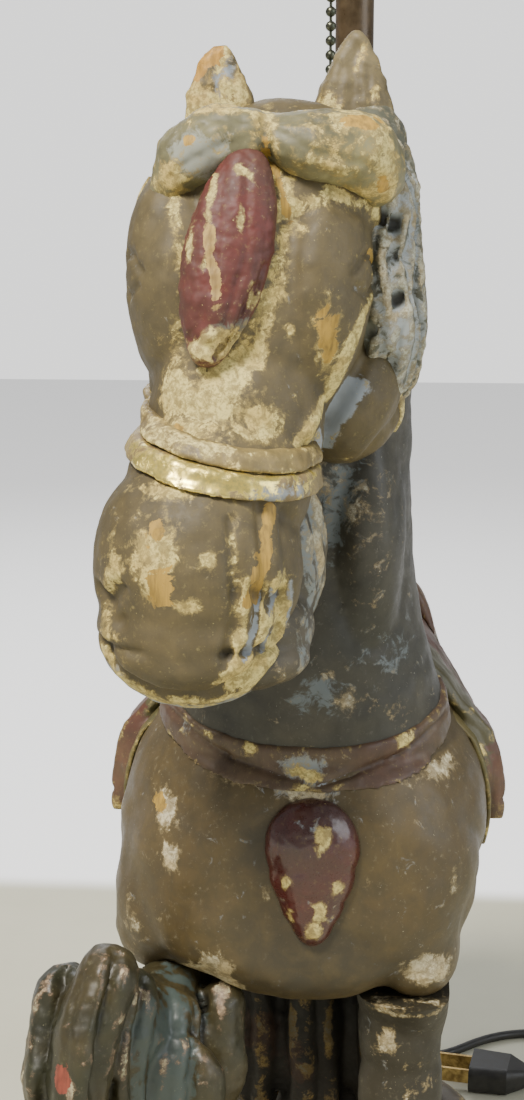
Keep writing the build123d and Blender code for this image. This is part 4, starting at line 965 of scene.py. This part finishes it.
spots(trunk, "tint", [(2, 230, 9, 6, 1), (-24, 170, 7, 5, 0.6), (39, 169, 6, 5, 0.6)])
markHollows(trunk)
# painted shade: the head's shadow down the middle of the chest and along its right side, added to the
# groove darkening
spots(trunk, "hollow_and_shade", [(4, 172, 30, 15, 0.95), (-12, 214, 7, 12, 0.7), (4, 198, 24, 20, 0.4),
    (46, 180, 5, 24, 0.4)])
for side, name in ((1, "trunkLeft"), (-1, "trunkRight")):
    half = duplicate(trunk, name)
    cutAway(half, (0, 0, 200), (-side, 0, 0))
    finishPiece(half, "chest", "horse_paint", "trunk_left" if side > 0 else "trunk_right")
body = fuse("strapCore", [duplicate(trunk, "coreTrunk"), duplicate(neck, "coreNeck")], 1.5, 0)
collar = bandAround(body, "breastCollar", (2, -86, 233), (0.03, -0.36, 1), 10.5, 1.5, 0.8)
cutAway(collar, (0, -46, 240), (0, 1, 0))
carve(collar, [(-45, 247), (-20, 235), (6, 229.5), (30, 236), (46, 246)], 0.9, 1)
roughen(collar, 7, 0.35, 10)
spots(collar, "loss", [(-14, 238, 4, 3, 0.8), (2, 233, 6, 4, 1.1), (31, 240, 3, 2.6, 1.3)])
spots(collar, "tint", [(2, 234, 6, 4, 1)])
finishPiece(collar, "collar", "red_paint", "breast_collar")
girth = bandAround(body, "girth", (0, 24, 170), (0, 1, 0), 15, 1.8, 0.9)
cutAway(girth, (0, 24, 191), (0, 0, 1))
roughen(girth, 7, 0.3, 11)
finishPiece(girth, "saddle", "red_paint", "girth")
for spare in (trunk, body):
    bpy.data.objects.remove(spare)

# breast drop
dropForm = {"voxel": 0.55, "lumps": [((4.2, -88, 211), (14, 8.5, 15)), ((4.2, -88, 204), (12.8, 8.2, 14)),
    ((4.3, -87.5, 197), (10, 7.6, 13)), ((4.3, -87, 190), (6.6, 7, 10))]}
breastDrop = fuse("breastDrop", balls(dropForm["lumps"], 4), dropForm["voxel"], 10)
roughen(breastDrop, 5, 0.25, 12)
spots(breastDrop, "loss", [(8, 217, 3, 3.6, 1.5), (-3, 203, 1.8, 2.6, 1.3), (12, 201, 2.4, 3, 1.4),
    (7, 194, 1.8, 3.4, 1.4), (5, 187, 3, 3, 1.3), (-2, 190, 1.6, 4, 1.1)])
spots(breastDrop, "tint", [(5, 219, 6, 3, 0.3)])
finishPiece(breastDrop, "red", "red_paint", "breast_drop")

# saddle
saddleForm = {
    "tuck": 0.075,
    "tuckFrom": 230,
    "tuckBack": 12,
    "flaps": [
        [((-51, -34, 227), (6, 4.5, 7)), ((-55.5, -34, 216), (6, 5, 7)), ((-56, -32, 208), (5.2, 5, 6))],
        [((51, -34, 228), (6, 4.5, 7)), ((55, -34, 217), (6.2, 5, 7)), ((55.5, -32, 207), (5.2, 5, 6))],
    ],
}


def tuckIn(piece):
    # the front edge lies closer behind the shoulders
    points = readPoints(piece)
    high = np.clip((points[:, 2] - saddleForm["tuckFrom"]) / 10, 0, 1)
    ahead = np.clip((saddleForm["tuckBack"] - points[:, 1]) / 20, 0, 1)
    points[:, 0] *= 1 - saddleForm["tuck"] * high * ahead
    writePoints(piece, points)


flaps = saddleForm["flaps"]
saddle = fuse("saddle", copyNode("saddle") + [lump for flap in flaps for lump in chain(flap, 0.5)], 1.1, 8)
tuckIn(saddle)
for side in ("left", "right"):
    carve(saddle, [(-36, 250), (-36, 208), (46, 208), (46, 250)], 1.4, 1, side)
    carve(saddle, [(-20, 236), (5, 222), (30, 236)], 1.2, 0.8, side)
    strokes(saddle, "loss", [(-22, 208), (46, 208), (46, 240)], 1.6, 0.6, side)
    spots(saddle, "loss", [(-8, 216, 5, 3, 1), (24, 229, 3, 5, 1)], side)
roughen(saddle, 9, 0.5, 13)
spots(saddle, "loss", [(55, 226, 3, 2, 0.9)])
spots(saddle, "tint", [(48, 240, 14, 16, 2), (-44, 246, 10, 12, 1.6)])
spots(saddle, "tint", [(-30, 246, 16, 10, 1.6)], "left")
finishPiece(saddle, "saddle", "red_paint", "saddle")
for name, node, seed in (("saddleBlanket", "saddle_blanket", 14), ("cantle", "cantle", 15),
        ("pommel", "pommel", 16)):
    piece = fuse(name, copyNode(node), 0.7 if name != "saddleBlanket" else 0.8, 3)
    roughen(piece, 8, 0.3, seed)
    tuckIn(piece)
    spots(piece, "loss", [(0, 200, 80, 8, 0.3)], "left")
    finishPiece(piece, "blanket" if name == "saddleBlanket" else "saddle",
        "blanket_paint" if name == "saddleBlanket" else "red_paint", node)
print("trunk and saddle carved")

# legs, tail, support and base
legForm = {
    "foreleg_left": [((31, -63, 142), (13.6, 15, 20)), ((31.5, -64, 122), (13.6, 13, 26)),
        ((35, -68, 100), (9, 9, 10))],
    "foreleg_right_lower": [((-63, -116, 90), (9, 9, 8))],
    "hind_leg_left": [((41, 88, 150), (15, 18, 20)), ((41, 128, 98), (8, 7, 10))],
    "hind_leg_right": [((-41, 76, 150), (15, 18, 20)), ((-41, 104, 98), (8, 7, 10))],
}
forelegSides = {"middle": 31, "straight": 11, "spare": 4}
for node, lumps in legForm.items():
    leg = fuse(node.replace("_l", "L").replace("_r", "R").replace("_u", "U"), copyNode(node) + balls(lumps),
        1.1, 8)
    bottom = readPoints(leg)[:, 2].min()
    if node != "foreleg_right_lower":
        for side in ("front", "left", "right", "back"):
            carve(leg, [(-200, bottom + 17), (200, bottom + 17)], 1.6, 1.2, side)
    roughen(leg, 10, 0.6, len(node))
    if node == "foreleg_right_lower":
        cutAway(leg, (0, 0, 134), (0, 0, 1))
    if node == "foreleg_left":
        cutAway(leg, (0, 0, 158), (0, 0, 1))
        points = readPoints(leg)                       # straight sides, no wider than the chest above
        offset = points[:, 0] - forelegSides["middle"]
        wide = np.abs(offset)
        straight, spare = forelegSides["straight"], forelegSides["spare"]
        eased = np.where(wide > straight, straight + spare * np.tanh((wide - straight) / spare), wide)
        points[:, 0] = forelegSides["middle"] + np.sign(offset) * eased
        writePoints(leg, points)
        spots(leg, "loss", [(27, 145, 3, 4, 1.4), (33, 156, 12, 1, 0.8), (35, 130, 5, 6, 0.6)])
    finishPiece(leg, "foreleg" if node == "foreleg_left" else "leg", "horse_paint", node)

kneeForm = {
    "voxel": 0.9,
    "spacing": 0.4,
    "thigh": [((-36, -62, 155), (12, 12, 14)), ((-44, -84, 153), (14, 14, 14)),
        ((-55, -104, 158), (15, 14, 17))],
    "fillers": [((-42, -97, 138), (22, 9, 19)), ((-28, -82, 138), (13, 8, 18))],
    "lobes": [
        [((-65, -109, 171), (10, 11, 11)), ((-67, -116, 152), (10.5, 14, 13)),
            ((-65, -114, 124), (9, 13, 11))],
        [((-51.5, -117, 182), (9, 11, 10)), ((-57, -121, 168), (9.5, 14, 12)),
            ((-60, -123, 148), (9, 15, 12)), ((-61, -120, 124), (8, 12, 10))],
        [((-46, -103, 168), (7, 10, 10)), ((-49, -107, 154), (7.5, 11, 11)),
            ((-50, -106, 124), (7, 10, 10))],
        [((-37, -88, 155), (9, 10, 10)), ((-37, -91, 143), (9.5, 10, 10)), ((-38, -90, 122), (8, 9, 9))],
        [((-23, -78, 155), (7, 9, 9)), ((-23, -81, 140), (7, 9, 9)), ((-25, -80, 124), (6.5, 8, 8))],
    ],
}
kneeLumps = chain(kneeForm["thigh"], kneeForm["spacing"]) + balls(kneeForm["fillers"])
for lobe in kneeForm["lobes"]:
    kneeLumps += chain(lobe, kneeForm["spacing"])
knee = fuse("forelegRightUpper", kneeLumps, kneeForm["voxel"], 5)
for line, width, depth in (
    ([(-62, 190), (-69, 168), (-71, 125)], 2, 3.2), ([(-48, 194), (-51, 172), (-54, 125)], 1.9, 3),
    ([(-42, 178), (-44.5, 160), (-45, 125)], 1.8, 2.4), ([(-29, 166), (-29.5, 148), (-31, 125)], 1.8, 2.4),
    ([(-57, 192), (-61, 170), (-62, 128)], 1, 0.5), ([(-38, 168), (-36, 148), (-38, 122)], 1.2, 0.6),
):
    carve(knee, line, width, depth)
roughen(knee, 8, 0.6, 17)
strokes(knee, "loss", [(-70, 180), (-75, 168), (-76.5, 150)], 1.6, 0.7)
strokes(knee, "tint", [(-38, 164), (-37, 148), (-39, 122)], 7.5, 1.3)
strokes(knee, "loss", [(-49, 191), (-45, 185), (-42, 176)], 1.2, 0.3)
spots(knee, "loss", [(-60, 158, 1.4, 4, 1.2), (-45, 173, 3, 2, 1.3), (-38, 150, 2, 9, 0.8),
    (-48, 160, 2, 10, 0.7), (-23, 163, 3, 2.5, 1.4), (-23, 158, 1.5, 4, 0.9)])
spots(knee, "bare", [(-62, 160, 2.4, 4, 1.7)])
finishPiece(knee, "knee", "horse_paint", "foreleg_right_upper")

supportForm = {"voxel": 1.3, "lumps": [
    ((-16, -30, 130), (11, 14, 42)), ((2, -38, 120), (10, 10, 46)), ((22, -34, 128), (10, 12, 42)),
    ((30, 4, 110), (9, 14, 50)), ((-16, 8, 110), (9, 14, 50)), ((8, 24, 110), (14, 9, 50)),
    ((8, -8, 34), (36, 42, 12)), ((-22, -34, 60), (12, 13, 34)), ((38, -6, 60), (10, 16, 30)),
]}
support = fuse("carvedSupport", copyNode("support") + balls(supportForm["lumps"]), supportForm["voxel"], 6)
for x in (-20, -9, 4, 14, 26):
    carve(support, [(x, 160), (x + 2, 110), (x - 3, 60), (x, 34)], 2.2, 2.6)
    carve(support, [(x + 3, 160), (x - 2, 110), (x + 3, 60), (x, 34)], 2.2, 2.4, "back")
for y in (-34, -20, -4, 12):
    for side in ("left", "right"):
        carve(support, [(y, 160), (y + 3, 110), (y - 2, 60), (y, 34)], 2.2, 2.6, side)
roughen(support, 10, 1, 18)
spots(support, "loss", [(-4, 134, 1.6, 5, 1.3), (8, 130, 1.3, 6, 1.2), (-22, 150, 2, 4, 0.9),
    (13, 146, 1.5, 6, 0.9)])
spots(support, "tint", [(-14, 128, 8, 8, 1), (-2, 118, 6, 8, 0.8)])
finishPiece(support, "dark", "plinth_paint", "support")

tail = fuse("tail", copyNode("tail") + chain([((2, 138, 205), (11, 8, 10)), ((6, 139, 170), (10, 8, 14)),
    ((-2, 139, 140), (9, 7, 14)), ((2, 138, 104), (5, 5, 9))], 0.4), 0.9, 5)
for across in (-7, -2, 3, 8):
    for side in ("back", "front"):
        carve(tail, [(across, 222), (across + 4, 180), (across - 1, 140), (across * 0.4, 100)], 1.5, 1.4,
            side)
for deep in (136, 142):
    for side in ("left", "right"):
        carve(tail, [(deep, 222), (deep - 3, 180), (deep + 2, 140), (deep - 1, 100)], 1.5, 1.2, side)
roughen(tail, 7, 0.5, 19)
finishPiece(tail, "mane", "hair_paint", "tail")

plinth = fuse("plinth", copyNode("plinth"), 1.5, 4)
for side in ("front", "left", "right", "back"):
    carve(plinth, [(-200, 8), (200, 8)], 1.3, 1.6, side)
    carve(plinth, [(-200, 15), (200, 15)], 1, 1, side)
roughen(plinth, 16, 0.5, 20)
finishPiece(plinth, "base", "plinth_paint", "plinth")
print("legs, tail and base carved")

# finishes of the carried-over pieces
carried = {
    "board": "bottom_cover",
    "steel": "cover_screws hoof_screws lamp_rod rod_washer set_screw switch_spring",
    "wood": "dowels",
    "brass": "rod_nut saddle_ferrule check_ring socket_cap socket_shell switch_rotor "
    "switch_lever screw_shell centre_contact terminal_screws plug_blades",
    "pipe": "rod_sleeve",
    "fibre": "shell_liner",
    "phenolic": "insulator",
    "cap": "bulb_cap bulb_stem",
    "chainDark": "pull_chain",
    "rubber": "cord_bushing inner_cord plug_body",
    "frost": "bulb_glass",
}
for finish, names in carried.items():
    for name in names.split():
        nodes[name].data.materials.clear()
        nodes[name].data.materials.append(finishes[finish])
